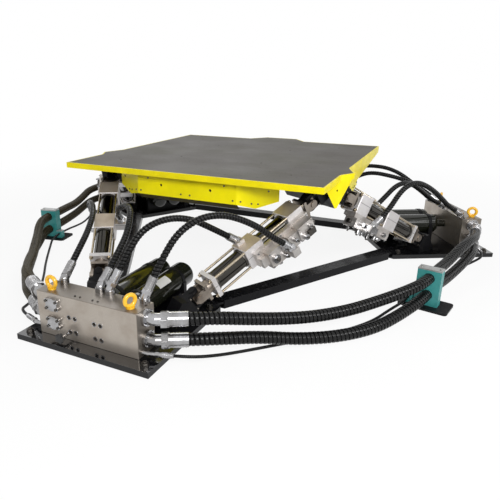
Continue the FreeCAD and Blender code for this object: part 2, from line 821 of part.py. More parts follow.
def make_skirt():
    """Front skirt with its two swept-back facets and the sloping pan strip, at -Y."""
    panel = new_body("skirt_panel")
    top = "table_rise - deck_thick"
    face = outline(panel, "skirt_face", "XZ_Plane",
                   [("-skirt_half", "skirt_rise"), ("skirt_half", "skirt_rise"), ("skirt_half", top),
                    ("-skirt_half", top)],
                   [("-skirt_hole_side", "skirt_hole_rise", "skirt_hole_radius"),
                    ("skirt_hole_side", "skirt_hole_rise", "skirt_hole_radius")])
    feature(panel, "Pad", "skirt_pad", face, "skirt_thick", backward=True)
    put(panel, "0", "-skirt_reach - skirt_thick", "0")
    facet = new_body("facet_panel")
    profile = outline(facet, "facet_face", "XZ_Plane",
                      [("0", "skirt_rise"), ("facet_dip_at", "facet_dip_rise"),
                       ("facet_length", "facet_end_rise"), ("facet_length", top), ("0", top)])
    feature(facet, "Pad", "facet_pad", profile, "skirt_thick", backward=True)
    facet.Placement = Placement(Vector(), Rotation(UP, size.facet_turn))
    put(facet, "skirt_half", "-skirt_reach - skirt_thick", "0")
    pan = new_body("skirt_pan")
    strip = outline(pan, "pan_profile", "YZ_Plane",
                    [("-skirt_reach - skirt_thick", "skirt_rise"), ("-skirt_reach", "skirt_rise"),
                     ("-skirt_reach + pan_inset", "skirt_rise - pan_depth"),
                     ("-skirt_reach - skirt_thick + pan_inset", "skirt_rise - pan_depth")])
    feature(pan, "Pad", "pan_pad", strip, "2 * skirt_half", middle=True)
    return fuse("skirt", panel, facet, mirrored("facet_mirrored", facet, Vector(1, 0, 0)), pan)


skirt = make_skirt()
skirts = [placed(f"skirt_{name}", skirt, turned(degrees)) for name, degrees in STATIONS.items()]
node("platform_skirts", *skirts)


# Base plates, beams and towers

def make_base_plate():
    body = new_body("plate")
    cut_corner = "plate_chamfer"
    corners = [("-plate_half", "-plate_outer"), ("plate_half", "-plate_outer"),
               ("plate_half", f"-plate_inner - {cut_corner}"), (f"plate_half - {cut_corner}", "-plate_inner"),
               (f"-plate_half + {cut_corner}", "-plate_inner"), ("-plate_half", f"-plate_inner - {cut_corner}")]
    inset = "plate_half - anchor_inset"
    anchors = [(f"{a} * ({inset})", y, "anchor_radius") for a in (-1, 1)
               for y in ("-plate_outer + anchor_inset", "-plate_inner - plate_chamfer - anchor_inset")]
    face = outline(body, "plate_outline", "XY_Plane", corners, [*anchors, ("0", "-anchor_circle", "anchor_radius")])
    feature(body, "Pad", "plate_pad", face, "plate_thick")
    return body


base_plate = make_base_plate()
for name, degrees in STATIONS.items():
    node(f"base_plate_{name}", placed(f"plate_at_{name}", base_plate, turned(degrees)))


def station_cutters(name, offset):
    """Half-spaces beyond a line of the two stations that a beam joins, in the beam's frame."""
    return [
        placed(f"{name}_{side}", block(f"{name}_block_{side}", "2 * plate_outer", "plate_outer", "4 * beam_height",
                                       "-plate_outer", f"-plate_inner - {offset} - plate_outer", "-2 * beam_height"),
               turned(90 + 60 * side))
        for side in (-1, 1)
    ]


def make_beam():
    """Hollow beam mitred at the base plates, with a bolted tongue lying on each plate."""
    length = "2 * (leg_plane_reach + lower_pivot_side)"
    inner = "beam_outer - beam_width"
    tube = cut(
        "beam_tube",
        block("beam_outside", "beam_width", length, "beam_height", inner, f"-{length} / 2"),
        block("beam_hollow", "beam_width - 2 * beam_wall", length, "beam_height - 2 * beam_wall",
              f"{inner} + beam_wall", f"-{length} / 2", "beam_wall"),
    )
    end = "(plate_inner - beam_outer / 2) / cos(30)"
    tongue = block("splice_tongue", "beam_width - 2 * beam_wall", "4 * splice_length", "splice_thick",
                   f"{inner} + beam_wall", f"{end} - 2 * splice_length", "plate_thick")
    tongues = fuse("splice_tongues", tongue, mirrored("splice_tongue_mirrored", tongue, Vector(0, 1, 0)))
    bolts = []
    for share in (1, 3):
        across = f"(beam_outer - beam_width * {share} / 4)"
        bolts.append(bar(f"splice_bolt_{share}", "bolt_radius", "bolt_head", "z", across,
                         f"(plate_inner + splice_length / 2 - {across} / 2) / cos(30)", "plate_thick + splice_thick"))
    bolt_pair = group("splice_bolts", *bolts)
    return fuse(
        "beam",
        cut("beam_mitred", tube, *station_cutters("mitre", "0")),
        cut("splice_trimmed", tongues, *station_cutters("splice_end", "splice_length")),
        bolt_pair,
        mirrored("splice_bolts_mirrored", bolt_pair, Vector(0, 1, 0)),
    )


beam = make_beam()
BEAMS = {"ab": -30, "bc": 90, "ca": 210}
for name, degrees in BEAMS.items():
    node(f"frame_beam_{name}", placed(f"beam_at_{name}", beam, turned(degrees)))


# Supply manifolds

def make_manifold():
    body = new_body("manifold")
    face = outline(body, "manifold_outline", "XY_Plane",
                   [("-manifold_half", "-manifold_outer"), ("manifold_half", "-manifold_outer"),
                    ("manifold_half", "-manifold_outer + manifold_depth"),
                    ("-manifold_half", "-manifold_outer + manifold_depth")])
    pad = feature(body, "Pad", "manifold_pad", face, "manifold_height")
    doc.recompute()
    chamfer = body.newObject("PartDesign::Chamfer", "manifold_edges")
    chamfer.Base = (pad, [f"Edge{k}" for k in range(1, len(pad.Shape.Edges) + 1)])
    chamfer.setExpression("Size", cells("manifold_chamfer"))
    put(body, "0", "0", "plate_thick")
    ports = []
    for centre in ("port_left", "port_right"):
        for rise in ("port_low", "port_high"):
            for half in (-1, 1):
                ports.append(bar("port_hole", "port_radius", "port_depth", "y",
                                 f"{centre} + {half} * port_pitch / 2", "-manifold_outer", rise))
    return cut("manifold_drilled", body, *ports)


manifold = make_manifold()
for name, degrees in STATIONS.items():
    node(f"manifold_{name}", placed(f"manifold_at_{name}", manifold, turned(degrees)))


# Lifting eyes on the manifolds

def make_eye():
    collar = bar("eye_collar_disc", "eye_collar", "eye_collar_height", "z", "0", "0", "0")
    ring = doc.addObject("Part::Torus", "eye_ring_round")
    bind(ring, Radius1="eye_ring", Radius2="eye_wire")
    ring.Placement.Rotation = Rotation(Vector(1, 0, 0), 90)
    put(ring, "0", "0", "eye_collar_height + eye_ring")
    return fuse("eye", collar, ring)


# Swivel of each ring, in degrees from its hole along Y
EYE_FACINGS = (0, 68, 0, 90, 0, 90)

eye = make_eye()
eye_number = 0
for name, degrees in STATIONS.items():
    for side in (-1, 1):
        eye_number += 1
        spot = Vector(side * size.eye_side, -size.manifold_outer + size.eye_inset,
                      size.plate_thick + size.manifold_height + size.eye_play)
        facing = Rotation(UP, EYE_FACINGS[eye_number - 1] - degrees)
        node(f"lifting_eye_{eye_number}",
             placed(f"eye_at_{eye_number}", eye, turned(degrees) * Placement(spot, facing)))


# Accumulators

def make_bottle():
    start = "-manifold_outer + manifold_depth"
    straight = "bottle_length - 2 * bottle_dome"
    shell = bar("bottle_shell", "bottle_radius", straight, "y", "0", f"{start} + adapter_length + bottle_dome", "0")
    domes = []
    for k, place in enumerate((f"{start} + adapter_length + bottle_dome",
                               f"{start} + adapter_length + bottle_length - bottle_dome")):
        dome = doc.addObject("Part::Ellipsoid", f"bottle_dome_{k}")
        bind(dome, Radius1="bottle_dome", Radius2="bottle_radius", Radius3="bottle_radius")
        dome.Placement.Rotation = Rotation(UP, AXES["y"])
        domes.append(put(dome, "0", place, "0"))
    adapter = bar("bottle_adapter", "adapter_radius", "adapter_length + bottle_dome", "y", "0", start, "0")
    return fuse("bottle", shell, *domes, adapter)


bottle = make_bottle()
bottles = []
for name, degrees in STATIONS.items():
    for side in (-1, 1):
        spot = Vector(size.bottle_side + side * size.bottle_pitch / 2, 0, size.bottle_rise)
        bottles.append(placed(f"bottle_{name}_{side + 1}", bottle, turned(degrees) * Placement(spot, Rotation())))


def make_saddle(name, inward):
    """Block that carries both bottles, and the two straps that hold them down."""
    side = "bottle_pitch / 2 + bottle_radius + saddle_wall"
    start = f"-plate_inner - {inward}"
    blank = block(f"{name}_blank", f"2 * ({side})", "saddle_thick", "bottle_rise - plate_thick",
                  f"bottle_side - ({side})", start, "plate_thick")
    centres = [f"bottle_side + {side} * bottle_pitch / 2" for side in (-1, 1)]
    cradles = [bar(f"{name}_cradle", "bottle_radius + saddle_fit", "saddle_thick", "y", centre, start, "bottle_rise")
               for centre in centres]
    strap_start = f"{start} + (saddle_thick - strap_width) / 2"
    lower_half = block(f"{name}_lower_half", f"4 * ({side})", "saddle_thick", "bottle_rise",
                       f"bottle_side - 2 * ({side})", start)
    straps = [
        cut(f"{name}_strap",
            bar(f"{name}_strap_outside", "bottle_radius + saddle_fit + strap_thick", "strap_width", "y", centre,
                strap_start, "bottle_rise"),
            bar(f"{name}_strap_inside", "bottle_radius + saddle_fit", "strap_width", "y", centre, strap_start,
                "bottle_rise"),
            lower_half)
        for centre in centres
    ]
    return group(name, cut(f"{name}_block", blank, *cradles), *straps)


saddles = [make_saddle("outer_saddle", "saddle_outer"), make_saddle("inner_saddle", "saddle_inner")]
for name, degrees in STATIONS.items():
    bottles.append(placed(f"saddles_{name}", group(f"saddle_pair_{name}", *saddles), turned(degrees)))
node("accumulators", *bottles)


# Blind flanges and the bleed valve on station A's outer face

fittings = []
for k, rise in enumerate(("blind_low", "blind_high")):
    fittings.append(bar(f"blind_disc_{k}", "blind_radius", "blind_thick", "y", "blind_side",
                        "-manifold_outer - blind_thick", rise))
fittings.append(bar("bleed_stem_bar", "bleed_stem", "bleed_length", "y", "bleed_side",
                    "-manifold_outer - bleed_length", "bleed_rise"))


KNOB_LOBES = 5


def make_knob():
    """Star knob."""
    start = "-manifold_outer - bleed_length - knob_thick - eye_play"
    lobes = []
    for k in range(KNOB_LOBES):
        turn = 360 * k / KNOB_LOBES
        lobes.append(bar(f"knob_lobe_{k}", "knob_lobe", "knob_thick", "y", f"bleed_side + knob_lobe_at * cos({turn})",
                         start, f"bleed_rise + knob_lobe_at * sin({turn})"))
    return fuse("knob", bar("knob_hub_disc", "knob_hub", "knob_thick", "y", "bleed_side", start, "bleed_rise"), *lobes)


node("bleed_knob", make_knob())


# Clamp stands beside the two front beams, X across the hoses and Y along them

def hose_bore(name, radius, x, y, z, length):
    """A hole for a hose, with the clamp's clearance."""
    return bar(name, f"{radius} + clamp_fit", length, "y", x, y, z)


def make_clamp(name, low, high, axis):
    """One half of the stack, bored for its hose."""
    return cut(name, block(f"{name}_blank", "clamp_width", "clamp_length", f"{high} - {low}", "-clamp_width / 2",
                           "-clamp_length / 2", low),
               hose_bore(f"{name}_bore", "supply_hose", "0", "-clamp_length / 2", axis, "clamp_length"))


def make_stand():
    foot = block("stand_foot", "stand_foot_length", "stand_foot_width", "stand_foot_thick",
                 "-stand_foot_length / 2 - stand_foot_offset", "-stand_foot_width / 2")
    foot_rounded = doc.addObject("Part::Fillet", "stand_foot_rounded")
    foot_rounded.Base = foot
    doc.recompute()
    foot_rounded.Edges = [(k, size.stand_foot_corner, size.stand_foot_corner) for k, edge in enumerate(foot.Shape.Edges, start=1)
                          if edge.BoundBox.ZLength > edge.Length - 1e-6]
    cover = block("clamp_cover_plate", "clamp_width", "clamp_length", "clamp_cover", "-clamp_width / 2",
                  "-clamp_length / 2", "clamp_top")
    heads = [bar(f"clamp_bolt_{side + 1}", "clamp_bolt", "clamp_bolt_head", "z",
                 f"{side} * (clamp_width / 2 - 2 * clamp_bolt)", "0", "clamp_top + clamp_cover") for side in (-1, 1)]
    small = cut("drain_clamp",
                block("drain_clamp_blank", "drain_clamp_width", "drain_clamp_length",
                      "drain_clamp_top - stand_foot_thick", "-drain_clamp_side - drain_clamp_width / 2",
                      "-drain_clamp_back - drain_clamp_length / 2", "stand_foot_thick"),
                hose_bore("drain_clamp_bore", "drain_hose", "-drain_clamp_side",
                          "-drain_clamp_back - drain_clamp_length / 2", "drain_clamp_axis", "drain_clamp_length"))
    small_cover = block("drain_clamp_cover_plate", "drain_clamp_width", "drain_clamp_length", "drain_clamp_cover",
                        "-drain_clamp_side - drain_clamp_width / 2", "-drain_clamp_back - drain_clamp_length / 2",
                        "drain_clamp_top")
    return group("stand", foot_rounded,
                 make_clamp("lower_clamp", "stand_foot_thick", "clamp_split", "clamp_low_axis"),
                 make_clamp("upper_clamp", "clamp_split", "clamp_top", "clamp_high_axis"),
                 fuse("clamp_cover_bolted", cover, *heads), small, small_cover)


stand = make_stand()
stand_frame = Placement(Vector(size.stand_side, -size.stand_front, 0), Rotation(UP, -size.stand_lean))
stand_ab = placed("stand_placed", stand, stand_frame)
node("clamp_stand_ab", stand_ab)
node("clamp_stand_ca", mirrored("stand_mirrored", stand_ab, Vector(1, 0, 0)))


# Hose fittings of the manifolds: the right-hand ones of station A, and their mirror image for a left-hand side

def leaning(name, radius, length, start, toward):
    """A round bar from a point in a direction."""
    item = doc.addObject("Part::Cylinder", name)
    bind(item, Radius=radius, Height=length)
    item.Placement = Placement(start, Rotation(UP, toward))
    return item


def ball(name, radius, centre):
    item = doc.addObject("Part::Sphere", name)
    bind(item, Radius=radius)
    item.Placement.Base = centre
    return item


def side_exit(kind, inset, rise):
    """Where a side fitting of the manifold bends, its heading, and the place where its hose starts."""
    turn = math.radians(getattr(size, f"{kind}_turn"))
    heading = Vector(math.cos(turn), math.sin(turn), 0)
    bend = Vector(size.manifold_half + getattr(size, f"{kind}_neck_length"), -size.manifold_outer + inset, rise)
    reach = getattr(size, f"{kind}_pipe") + getattr(size, f"{kind}_crimp_length")
    return bend, heading, bend + heading * reach


def make_side_fitting(name, kind, inset, rise, flange=False):
    bend, heading, end = side_exit(kind, getattr(size, inset), getattr(size, rise))
    pieces = [
        bar(f"{name}_neck", f"{kind}_neck", f"{kind}_neck_length", "x", "manifold_half", f"-manifold_outer + {inset}",
            rise),
        ball(f"{name}_bend", f"{kind}_neck", bend),
        leaning(f"{name}_pipe", f"{kind}_neck", f"{kind}_pipe", bend, heading),
        leaning(f"{name}_crimp", f"{kind}_crimp", f"{kind}_crimp_length",
                bend + heading * getattr(size, f"{kind}_pipe"), heading),
    ]
    if flange:
        pieces.append(bar(f"{name}_flange", "supply_flange", "supply_flange_thick", "x", "manifold_half",
                          f"-manifold_outer + {inset}", rise))
    return fuse(name, *pieces)


right_fittings = group("right_fittings",
                       make_side_fitting("supply_fitting_low", "supply", "supply_inset", "supply_low", True),
                       make_side_fitting("supply_fitting_high", "supply", "supply_inset", "supply_high", True),
                       make_side_fitting("drain_fitting", "drain", "drain_inset", "drain_rise"))
left_fittings = mirrored("left_fittings", right_fittings, Vector(1, 0, 0))
fittings.append(right_fittings)
fittings.append(placed("left_fittings_a", left_fittings, turned(STATIONS["a"])))
fittings.append(placed("left_fittings_b", left_fittings, turned(STATIONS["b"])))
fittings.append(placed("right_fittings_c", right_fittings, turned(STATIONS["c"])))


# Hose routes: from each fitting along its heading, by shares of the way with an offset to the right, to the goal

def spots(start, goal, steps):
    way = Vector(goal.x - start.x, goal.y - start.y, 0)
    right = Vector(way.y, -way.x, 0).normalize()
    return [Vector(start.x, start.y, height) + way * share + right * offset for share, offset, height in steps]


def flipped(point):
    return Vector(-point.x, point.y, point.z)


# Part of the shorter run that each of its two arcs takes
ARC_SHARE = 0.45


def tube(name, radius, points):
    """A hose: straight runs joined by tangent arcs, and the smallest radius of its arcs."""
    edges, first, tightest = [], points[0], math.inf
    for before, corner, after in zip(points, points[1:], points[2:]):
        back, ahead = before - corner, after - corner
        turn = math.pi - back.getAngle(ahead)
        reach = ARC_SHARE * min(back.Length, ahead.Length)
        bend = reach / math.tan(turn / 2)
        tightest = min(tightest, bend)
        back.normalize()
        ahead.normalize()
        middle = (back + ahead).normalize()
        edges.append(Part.LineSegment(first, corner + back * reach).toShape())
        edges.append(Part.Arc(corner + back * reach, corner + middle * (math.hypot(bend, reach) - bend),
                              corner + ahead * reach).toShape())
        first = corner + ahead * reach
    edges.append(Part.LineSegment(first, points[-1]).toShape())
    path = Part.Wire(edges)
    ring = Part.Wire(Part.makeCircle(radius, points[0], points[1] - points[0]))
    item = doc.addObject("Part::Feature", name)
    item.Shape = path.makePipeShell([ring], True, True)
    item.Placement = Placement()
    share = item.Shape.Volume / (math.pi * radius ** 2 * path.Length)
    print(f"{name}: smallest radius {tightest:.0f}, length {path.Length:.0f}, volume {share:.4f} of section x length")
    node(name, item)


def side_route(kind, inset, rise, first_steps, clamp, last_steps, sign):
    """Station A's right side to station B's left, through a clamp; its mirror image for sign -1."""
    bend, heading, start = side_exit(kind, inset, rise)
    lead = getattr(size, f"{kind}_first_run")
    far = turned(STATIONS["b"])
    end = far.multVec(flipped(start))
    end_heading = far.Rotation.multVec(flipped(heading))
    along = stand_frame.Rotation.multVec(Vector(0, 1, 0))
    entry, leave = clamp - along * size.clamp_run, clamp + along * size.clamp_run
    first, last = start + heading * lead, end + end_heading * lead
    points = [start, first, *spots(first, entry, first_steps), entry, leave, *spots(leave, last, last_steps), last, end]
    return [point if sign > 0 else flipped(point) for point in points]


SUPPLY_ROUTES = {
    "supply_hose_ab_upper": (1, "supply_high", "clamp_high_axis",
                             [(0.17, 12, 172), (0.37, 28, 135), (0.57, 26, 122), (0.745, 14, 133), (0.88, 14, 155)],
                             [(0.25, 0, 180), (0.52, 5, 216), (0.78, 9, 236)]),
    "supply_hose_ab_lower": (1, "supply_low", "clamp_low_axis",
                             [(0.17, 14, 78), (0.335, 55, 42), (0.50, 98, 35), (0.67, 100, 35), (0.83, 55, 46)],
                             [(0.25, 0, 64), (0.52, 5, 78), (0.78, 9, 104)]),
    "supply_hose_ca_upper": (-1, "supply_high", "clamp_high_axis",
                             [(0.17, 8, 186), (0.37, 8, 164), (0.555, 12, 156), (0.73, 14, 152), (0.87, 18, 164)],
                             [(0.25, 0, 170), (0.52, 5, 160), (0.78, 9, 178)]),
    "supply_hose_ca_lower": (-1, "supply_low", "clamp_low_axis",
                             [(0.145, 26, 76), (0.29, 50, 44), (0.43, 68, 35), (0.575, 72, 35), (0.73, 54, 38),
                              (0.87, 22, 55)],
                             [(0.25, 0, 74), (0.52, 5, 74), (0.78, 9, 88)]),
}
for name, (sign, rise, axis, first_steps, last_steps) in SUPPLY_ROUTES.items():
    clamp = stand_frame.multVec(Vector(0, 0, getattr(size, axis)))
    tube(name, size.supply_hose,
         side_route("supply", size.supply_inset, getattr(size, rise), first_steps, clamp, last_steps, sign))

DRAIN_FIRST = {
    1: [(0.10, 4, 36), (0.20, -4, 16), (0.32, 8, 9), (0.445, 30, 9), (0.575, 46, 9), (0.70, 54, 9), (0.81, 45, 15),
        (0.905, 18, 30)],
    -1: [(0.09, -12, 34), (0.193, -30, 12), (0.33, -36, 9), (0.465, -29, 9), (0.60, -12, 9), (0.735, -1, 9),
         (0.862, 1, 22)],
}
DRAIN_LAST = [(0.18, -24, 26), (0.365, -43, 9), (0.55, -52, 9), (0.73, -48, 14), (0.88, -18, 36)]
drain_clamp = stand_frame.multVec(Vector(-size.drain_clamp_side, -size.drain_clamp_back, size.drain_clamp_axis))
for name, sign in (("drain_line_ab", 1), ("drain_line_ca", -1)):
    tube(name, size.drain_hose,
         side_route("drain", size.drain_inset, size.drain_rise, DRAIN_FIRST[sign], drain_clamp, DRAIN_LAST, sign))

# Each leg hose: station, port, leg, its stub there, and the steps of its arch
LEG_HOSES = [
    ("a", 1, 6, "under", [(0.19, 60, 395), (0.33, 85, 445), (0.48, 93, 487), (0.63, 80, 512), (0.77, 50, 512),
                          (0.89, 20, 484)]),
    ("a", 2, 6, "inner", [(0.218, 76, 410), (0.352, 107, 465), (0.488, 116, 520), (0.637, 107, 550),
                          (0.756, 75, 545), (0.8615, 20, 515)]),
    ("a", 3, 1, "top", [(0.172, 0, 455), (0.2815, 0, 540), (0.426, 0, 578), (0.595, 0, 582), (0.756, 0, 555),
                        (0.869, 0, 517)]),
    ("a", 4, 1, "side", [(0.145, 0, 475), (0.255, 0, 573), (0.414, 0, 622), (0.58, 0, 617), (0.73, 0, 575),
                         (0.875, 0, 517)]),
    ("b", 4, 3, "side", [(0.225, 0, 405), (0.36, 0, 466), (0.511, 0, 501), (0.668, 0, 505), (0.8175, 0, 492)]),
    ("b", 3, 3, "top", [(0.262, 0, 388), (0.405, 0, 430), (0.555, 0, 456), (0.708, 0, 472), (0.853, 0, 482)]),
    ("b", 2, 2, "inner", [(0.25, 0, 352), (0.39, 0, 412), (0.52, 0, 468), (0.64, 0, 510), (0.765, 0, 526),
                          (0.885, 0, 506)]),
    ("b", 1, 2, "under", [(0.21, 0, 365), (0.32, 0, 430), (0.44, 0, 495), (0.57, 0, 550), (0.69, 0, 583),
                          (0.80, 0, 578), (0.895, 0, 535)]),
]
stub_heading = Vector(-math.sin(math.radians(size.stub_lean)), 0, math.cos(math.radians(size.stub_lean)))
manifold_top = size.plate_thick + size.manifold_height
for number, (name, port, leg_number, kind, steps) in enumerate(LEG_HOSES, start=1):
    ear, side = LEGS[leg_number - 1]
    leg = pivot_frame(ear, side, size.lower_pivot_side, size.lower_pivot_rise, leg_angle)
    along, across, rise = STUBS[kind]
    end = leg.multVec(Vector(along, across * side, rise) + stub_heading * size.stub_length)
    last = end + leg.Rotation.multVec(stub_heading) * size.arch_last_run
    station = turned(STATIONS[name])
    elbow = station.multVec(Vector(getattr(size, f"arch_port_{port}"), -size.manifold_outer + size.arch_inset,
                                   manifold_top + size.arch_elbow))
    corners = spots(elbow, last, steps)
    toward = (corners[0] - elbow).normalize()
    tube(f"leg_hose_{number}", size.leg_hose, [elbow + toward * size.arch_crimp, *corners, last, end])
    fittings.append(fuse(f"arch_fitting_{number}",
                         placed(f"arch_nut_{number}", bar(f"arch_nut_bar_{number}", "arch_nut", "arch_nut_height", "z",
                                                          f"arch_port_{port}", "-manifold_outer + arch_inset",
                                                          "plate_thick + manifold_height"), station),
                         ball(f"arch_ball_{number}", "stub_radius", elbow),
                         leaning(f"arch_crimp_{number}", "stub_radius", "arch_crimp", elbow, toward)))

plugs = [bar(f"arch_plug_{port}", "arch_nut", "arch_nut_height", "z", f"arch_port_{port}",
             "-manifold_outer + arch_inset", "plate_thick + manifold_height") for port in range(1, 5)]
fittings.append(placed("arch_plugs_c", group("arch_plugs", *plugs), turned(STATIONS["c"])))
node("port_fittings", *fittings)

doc.recompute()
faults = [item.Name for item in doc.Objects if {"Invalid", "Error"} & set(item.State)]
for label, item in nodes.items():
    if item.Shape.isNull() or not item.Shape.isValid():
        faults.append(label)
if faults:
    raise SystemExit(f"not built: {faults}")
for label, item in nodes.items():
    item.Shape.exportStep(f"parts/{label}.step")
print(f"{len(nodes)} nodes, leg {leg_length:.1f} mm at {math.degrees(leg_angle):.2f} degrees")
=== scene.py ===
import math

import bmesh
import bpy
from mathutils import Matrix, Vector


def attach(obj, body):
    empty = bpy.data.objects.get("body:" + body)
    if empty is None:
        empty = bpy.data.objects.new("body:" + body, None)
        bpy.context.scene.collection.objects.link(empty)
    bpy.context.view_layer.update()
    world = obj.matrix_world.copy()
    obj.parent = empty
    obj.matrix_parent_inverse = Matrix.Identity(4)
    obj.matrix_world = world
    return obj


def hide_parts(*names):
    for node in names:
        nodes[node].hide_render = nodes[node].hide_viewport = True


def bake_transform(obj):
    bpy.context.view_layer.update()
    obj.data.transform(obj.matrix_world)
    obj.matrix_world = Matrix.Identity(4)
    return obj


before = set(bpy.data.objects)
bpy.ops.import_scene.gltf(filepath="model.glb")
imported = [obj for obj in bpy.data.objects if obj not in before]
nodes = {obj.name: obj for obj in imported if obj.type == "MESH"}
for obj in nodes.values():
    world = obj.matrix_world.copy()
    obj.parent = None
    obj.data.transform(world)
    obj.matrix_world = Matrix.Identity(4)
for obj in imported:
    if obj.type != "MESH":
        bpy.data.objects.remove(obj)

UP = Vector((0, 0, 1))
STATIONS = (0, 120, 240)                      # headings of stations A, B and C in degrees, 0 at -Y
EARS = (-30, 90, 210)                         # headings of the table's ears in degrees, 0 at +X
LEGS = [(ear, side) for ear in EARS for side in (-1, 1)]
SIGNS = [(a, b) for a in (-1, 1) for b in (-1, 1)]
PIVOT_OUT = 0.900                             # the legs' pivots from the centre, along their ear's heading
LOWER_ACROSS, LOWER_RISE = 0.919, 0.145       # lower pivots: to the side of that heading, and height
UPPER_ACROSS, UPPER_RISE = 0.150, 0.545       # upper pivots with the table down
LEG_TILT = math.atan2(0.400, 0.769)
LEG_LENGTH = math.hypot(0.400, 0.769)
WING_TILT = math.atan2(0.136, 0.194)          # tilt of the forks on the base and under the ears
PLATE_TOP = 0.030
MANIFOLD_TOP = 0.260
MANIFOLD_FACE = 1.750                         # outer face of a manifold from the centre
SKIRT_FACE = 0.785
BOTTLE_RISE = 0.155
BOTTLE_SIDES = (-0.037, 0.113)


def link(item):
    bpy.context.scene.collection.objects.link(item)


def turned(degrees, size=4):
    """A turn about the vertical axis."""
    return Matrix.Rotation(math.radians(degrees), size, "Z")


def heading(degrees):
    """Level direction at these degrees from +X."""
    angle = math.radians(degrees)
    return Vector((math.cos(angle), math.sin(angle), 0))


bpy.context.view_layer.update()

# Camera, as the photograph has it
azimuth, elevation = math.radians(26.635), math.radians(19.765)
back = Vector((math.sin(azimuth) * math.cos(elevation), -math.cos(azimuth) * math.cos(elevation),
               math.sin(elevation)))
lens = bpy.data.cameras.new("camera")
lens.sensor_width = 36.0
lens.lens = 35.897
lens.shift_x = 0.0772
camera = bpy.data.objects.new("camera", lens)
link(camera)
camera.location = Vector((-0.171, -0.086, -0.048)) + back * 3.888
camera.rotation_euler = back.to_track_quat("Z", "Y").to_euler()
bpy.context.scene.camera = camera


# Node helpers

class Tree:
    """A material's node tree, with short calls for the nodes that the finishes use."""

    def __init__(self, name):
        self.material = bpy.data.materials.new(name)
        self.material.use_nodes = True
        self.tree = self.material.node_tree
        self.shader = self.tree.nodes["Principled BSDF"]
        self.place = self.tree.nodes.new("ShaderNodeTexCoord").outputs["Object"]

    def node(self, kind, **inputs):
        made = self.tree.nodes.new("ShaderNode" + kind)
        for key, value in inputs.items():
            self.feed(made.inputs[key.replace("_", " ")], value)
        return made

    def feed(self, socket, value):
        if isinstance(value, bpy.types.NodeSocket):
            self.tree.links.new(value, socket)
        else:
            socket.default_value = value

    def math(self, operation, *values):
        made = self.tree.nodes.new("ShaderNodeMath")
        made.operation = operation
        for socket, value in zip(made.inputs, values):
            self.feed(socket, value)
        return made.outputs[0]

    def noise(self, scale, detail=3.0, place=None, rough=0.5):
        made = self.node("TexNoise", Scale=scale, Detail=detail, Roughness=rough)
        self.feed(made.inputs["Vector"], place or self.place)
        return made.outputs["Fac"]

    def stretched(self, scales, scale, detail=3.0, place=None):
        mapping = self.node("Mapping")
        self.feed(mapping.inputs["Vector"], place or self.place)
        mapping.inputs["Scale"].default_value = scales
        return self.noise(scale, detail, mapping.outputs["Vector"])

    def span(self, value, low, high, start=0.0, end=1.0):
        made = self.tree.nodes.new("ShaderNodeMapRange")
        for socket, item in zip(made.inputs, (value, low, high, start, end)):
            self.feed(socket, item)
        return made.outputs["Result"]

    def mix(self, share, first, second):
        made = self.tree.nodes.new("ShaderNodeMix")
        made.data_type = "RGBA"
        self.feed(made.inputs["Factor"], share)
        self.feed(made.inputs["A"], rgba(first))
        self.feed(made.inputs["B"], rgba(second))
        return made.outputs["Result"]

    def bump(self, height, strength, distance=0.001):
        made = self.node("Bump", Strength=strength, Distance=distance, Height=height)
        self.feed(self.shader.inputs["Normal"], made.outputs["Normal"])

    def edge_wear_and_highlight(self, reach=0.0016):
        """Share of edge colour, for wear and painted edge highlight: high along the edges of a solid, broken up by
        noise.
        """
        rounded = self.tree.nodes.new("ShaderNodeBevel")
        rounded.samples = 6
        rounded.inputs["Radius"].default_value = reach
        straight = self.tree.nodes.new("ShaderNodeNewGeometry")
        likeness = self.tree.nodes.new("ShaderNodeVectorMath")
        likeness.operation = "DOT_PRODUCT"
        self.feed(likeness.inputs[0], rounded.outputs["Normal"])
        self.feed(likeness.inputs[1], straight.outputs["Normal"])
        edge = self.span(likeness.outputs["Value"], 0.94, 0.80, 0.0, 1.0)
        return self.math("MULTIPLY", edge, self.span(self.noise(75.0, 4.0), 0.38, 0.62, 0.15, 1.0))

    def finish(self, color, roughness, metallic=0.0, **sockets):
        self.feed(self.shader.inputs["Base Color"], rgba(color))
        self.feed(self.shader.inputs["Roughness"], roughness)
        self.shader.inputs["Metallic"].default_value = metallic
        for key, value in sockets.items():
            self.shader.inputs[key.replace("_", " ")].default_value = value
        return self.material


def rgba(color):
    return (*color, 1.0) if isinstance(color, tuple) and len(color) == 3 else color


